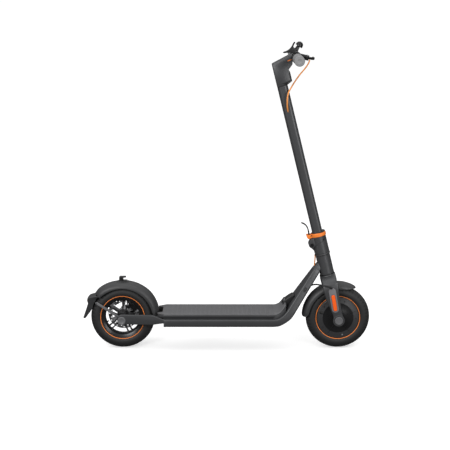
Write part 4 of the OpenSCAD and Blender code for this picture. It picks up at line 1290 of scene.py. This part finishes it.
def inset_outline(outline, d):
    """Moves each point of a counter-clockwise or clockwise outline towards the inside by d."""
    area2 = sum(a[0] * b[1] - b[0] * a[1] for a, b in zip(outline, outline[1:] + outline[:1]))
    turn = 1 if area2 > 0 else -1
    out = []
    n = len(outline)
    for i in range(n):
        p, q, r = Vector(outline[i - 1]), Vector(outline[i]), Vector(outline[(i + 1) % n])
        e, f = (q - p).normalized(), (r - q).normalized()
        inward = Vector((-e.y, e.x)) * turn + Vector((-f.y, f.x)) * turn
        if inward.length < 1e-6:
            inward = Vector((-e.y, e.x)) * turn
        inward.normalize()
        scale = d / max(0.5, inward.dot(Vector((-e.y, e.x)) * turn))
        out.append((q.x + inward.x * scale, q.y + inward.y * scale))
    return out


# ---------- handlebar and controls ----------

def bar():
    half = [(11.1, 119), (11.1, 66), (12.4, 63.4), (15.5, 61.4), (15.9, 60.4), (15.9, 0)]
    profile = [(9, -121)] + [(r, -y) for r, y in half] + [(r, y) for r, y in reversed(half[:-1])] + [(9, 121)]
    piece = revolve("bar_tube", profile, "paint", "stem", at_bar, steps=72)
    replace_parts(piece, "handlebar")

    def build(sign, side):
        line = [(11.1, 120.4), (18.6, 120.4), (19.5, 121.4), (19.5, 124.6), (18.9, 125.2)]
        y = 125.2
        while y < 226:
            line += [(18.9, y + 0.5), (19.45, y + 1.0), (19.45, y + 3.0), (18.9, y + 3.5)]
            y += 3.5
        line += [(19.5, y + 0.4), (19.5, 236.4), (18.8, 238.6), (17.6, 239.6), (16.2, 239.9), (15.2, 239.4),
                 (14.2, 239.4), (13.4, 239.8), (7.4, 239.8), (6.6, 239.2), (0.02, 239.2), (0.02, 230),
                 (11.1, 230)]
        grip = revolve(f"grip_{side}", [(r, sign * y) for r, y in line], "grip", "stem", at_bar, steps=72,
                       sharp=50)
        if sign < 0:
            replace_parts(grip, "grips")
    both(build)


def throttle():
    """The thumb throttle: a clamp housing outboard and a paddle that turns about the bar."""
    ring = [(11.2, -118.8), (19.6, -118.8), (20.5, -117.8), (20.5, -101.4), (19.8, -100.6), (11.2, -100.6)]
    piece = revolve("throttle_housing", ring, "black", "stem", at_bar, steps=72)
    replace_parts(piece, "bar_clamps")
    hub = [(11.3, -99.4), (18.8, -99.4), (19.5, -98.7), (19.5, -85.4), (18.6, -84.4), (11.3, -84.4)]
    piece = revolve("throttle_hub", hub, "black", "throttle", at_bar, steps=72)
    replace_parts(piece, "throttle_paddle")
    outline = [(-8, 15), (-18, 19.5), (-30, 21.6), (-44, 20.6), (-52, 20.2), (-54.6, 21.4), (-54.4, 23.6),
               (-50, 25.2), (-42, 28), (-36, 31), (-30, 35.6), (-25.5, 41), (-22, 45.2), (-19.6, 45.8),
               (-15, 43), (-10.6, 36.5), (-7, 30), (-3, 19)]
    piece = extrude("throttle_thumb", outline, -98.8, -86.2, "black", "throttle", at_bar, bevel=2.2,
                    segments=4, sharp=25)
    clamp = extrude("throttle_clamp_block", [(-6, -24), (6, -24), (8, -18), (8, -14), (-8, -14), (-8, -18)],
                    -116.5, -103, "black", "stem", at_bar, bevel=1.4)
    bolt("throttle_screw", at_bar(0, -109.5, -23.6), (0, 0, -1), 2.6, 1.4, "stem")


def bell():
    y0 = 88

    def place(x, y, z):
        return at_bar(x, y0 + y, z)

    band = [(11.2, -6), (14.4, -6), (15, -5.4), (15, 5.4), (14.4, 6), (11.2, 6)]
    piece = revolve("bell_band", band, "black", "stem", place, steps=64)
    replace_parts(piece, "bell")
    cheek = [(-12, 13), (10, 13), (14, 24), (16, 33), (8, 34), (2, 29), (-4, 26), (-6, 33), (-12, 33)]
    for sign, side in ((-1, "near"), (1, "far")):
        post = extrude(f"bell_post_{side}", cheek, *sorted((sign * 3.4, sign * 6.2)), "black", "stem", place,
                       bevel=0.7)
    post = extrude("bell_neck", [(-1, 13), (12, 13), (17, 26), (22, 37), (12, 40), (5, 34), (1, 27)], -3.6,
                   3.6,
                   "black", "stem", place, bevel=0.8)
    tilt = math.radians(35)
    dome = []
    for a in range(0, 91, 6):
        r, h = 14.2 * math.cos(math.radians(a)), 14.2 * math.sin(math.radians(a))
        dome.append((max(r, 0.02), h))
    dome = [(12.6, -5), (14.1, -5.4), (14.6, -4), (14.3, -2)] + dome[1:] + [(0.02, 12.6), (8, 9.6), (12.4, 1)]

    def dome_at(x, y, z):
        return place(18 + x * math.cos(tilt) + z * math.sin(tilt), y,
                     38.7 - x * math.sin(tilt) + z * math.cos(tilt))

    piece = turned("bell_dome", dome, "satin", "stem", dome_at, steps=72)
    bolt("bell_nut", dome_at(0, 0, 13.8), dome_at(0, 0, 1) - dome_at(0, 0, 0), 2.2, 0.9, "stem", "steel")
    blade = [(-12.4, 29), (-11.2, 26.6), (-7.8, 26), (-5.6, 28), (-5, 34), (-3.4, 40), (0.8, 46.5),
             (1.8, 49.8),
             (-0.4, 51.8), (-3.6, 50.4), (-7.4, 44.8), (-11.2, 36)]
    piece = extrude("bell_hammer", blade, -2.9, 2.9, "satin", "striker", place, bevel=0.9, segments=3)
    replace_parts(piece, "bell_striker")
    rod("bell_pin", place(-9, -6.6, 29), place(-9, 6.6, 29), 1.4, "steel", "stem", 0.3, 20)


def brake():
    """The brake perch clamped on the left, with the two-finger lever ahead of the grip."""
    drop = math.radians(13.4)

    def place(x, y, z):
        return at_bar(x * math.cos(drop) + z * math.sin(drop), y, -x * math.sin(drop) + z * math.cos(drop))

    def slab(name, outline, z0, z1, mat, body, **more):
        rows = [[place(x, y, z) for x, y in outline] for z in (z0, z1)]
        return loft(name, rows, mat, body, **more)

    ring = [(11.2, 101.2), (16.2, 101.2), (17, 102), (17, 118), (16.2, 118.8), (11.2, 118.8)]
    piece = revolve("perch_clamp", ring, "black", "stem", at_bar, steps=64)
    body = [(8, 101.2), (40, 101.2), (50, 100.8), (56, 103), (59, 108), (59, 112), (56, 117), (50, 119.2),
            (40, 118.8), (8, 118.8)]
    for z0, z1, part in ((5.4, 10, "upper"), (-10, -5.4, "lower")):
        piece = slab(f"perch_{part}_plate", body, z0, z1, "black", "stem", bevel=1.2, segments=3)
    neck = slab("perch_web", [(8, 101), (54, 101), (56, 102.3), (34, 102.3), (14, 118.4), (8, 118.4)], -9.6,
                9.6,
                "black", "stem", bevel=0.4)
    a = place(pivot_f + 2, 104, 0)
    b = place(pivot_f - 5, 92, 0)
    rod("perch_adjuster", a, b, 4.4, "black", "stem", 0.8)
    bolt("perch_pivot", place(pivot_f, 110, 10), place(0, 0, 1) - place(0, 0, 0), 4.2, 1.8, "stem", "steel")
    blade = [Vector(p) for p in ((48, 106, 0), (56, 113, 0), (66, 124, 0), (76, 142, 0), (81, 160, 0),
                                 (82.6, 180, 0), (82.2, 196, 0), (82, 205, 0))]
    path = curve(blade, 6)
    rings = []
    count = len(path)
    for i, p in enumerate(path):
        t = (path[min(i + 1, count - 1)] - path[max(i - 1, 0)]).normalized()
        side_v = Vector((t.y, -t.x, 0))
        k = i / (count - 1)
        w = 12 - 4 * min(1, k * 1.8)
        h = 9.2 + 1.2 * math.sin(math.pi * k)
        rings.append([place(p.x + side_v.x * b, p.y + side_v.y * b, c) for b, c in round_rect(w, h, 2.6, 4)])
    piece = loft("lever_finger_blade", rings, "black", "brake_grip", sharp=50)
    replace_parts(piece, "brake_lever")
    tip = []
    for k in range(9):
        a = math.radians(-90 + 180 * k / 8)
        tip.append((4.9 * math.cos(a), 5.2 * math.sin(a)))
    rows = []
    for i in range(24):
        q = 2 * math.pi * i / 24
        rows.append([place(82 + r * math.cos(q), 204.6 + r * math.sin(q), h) for r, h in tip])
    piece = loft("lever_tip", rows, "black", "brake_grip", closed=True)


pivot_f = 50


# ---------- CAD nodes that stay in view ----------

def finish_nodes():
    """Gives each CAD node that is still shown its material."""
    finishes = {
        "bottom_cover": "black", "battery_pack": "battery", "controller": "alloy", "deck_screws": "steel",
        "rear_axle": "steel", "front_axle": "steel", "brake_rotor": "rotor", "brake_pads": "lining",
        "rear_bearings": "bright", "front_bearings": "bright", "headset_bearings": "bright",
        "motor_stator": "copper", "hinge_pin": "satin",
    }
    for node, mat in finishes.items():
        mesh = frame["nodes"][node].data
        if not mesh.materials:
            mesh.materials.append(MAT[mat])
        for i in range(len(mesh.materials)):
            mesh.materials[i] = MAT[mat]


rear_wheel()
front_wheel()
mudguards()
tail_light()
fender_hook()
stays()
rails()
deck()
arms()
caliper()
cables()
port()
kickstand()
fork()
head_and_fold()
stem()
head()
bar()
throttle()
bell()
brake()
finish_nodes()
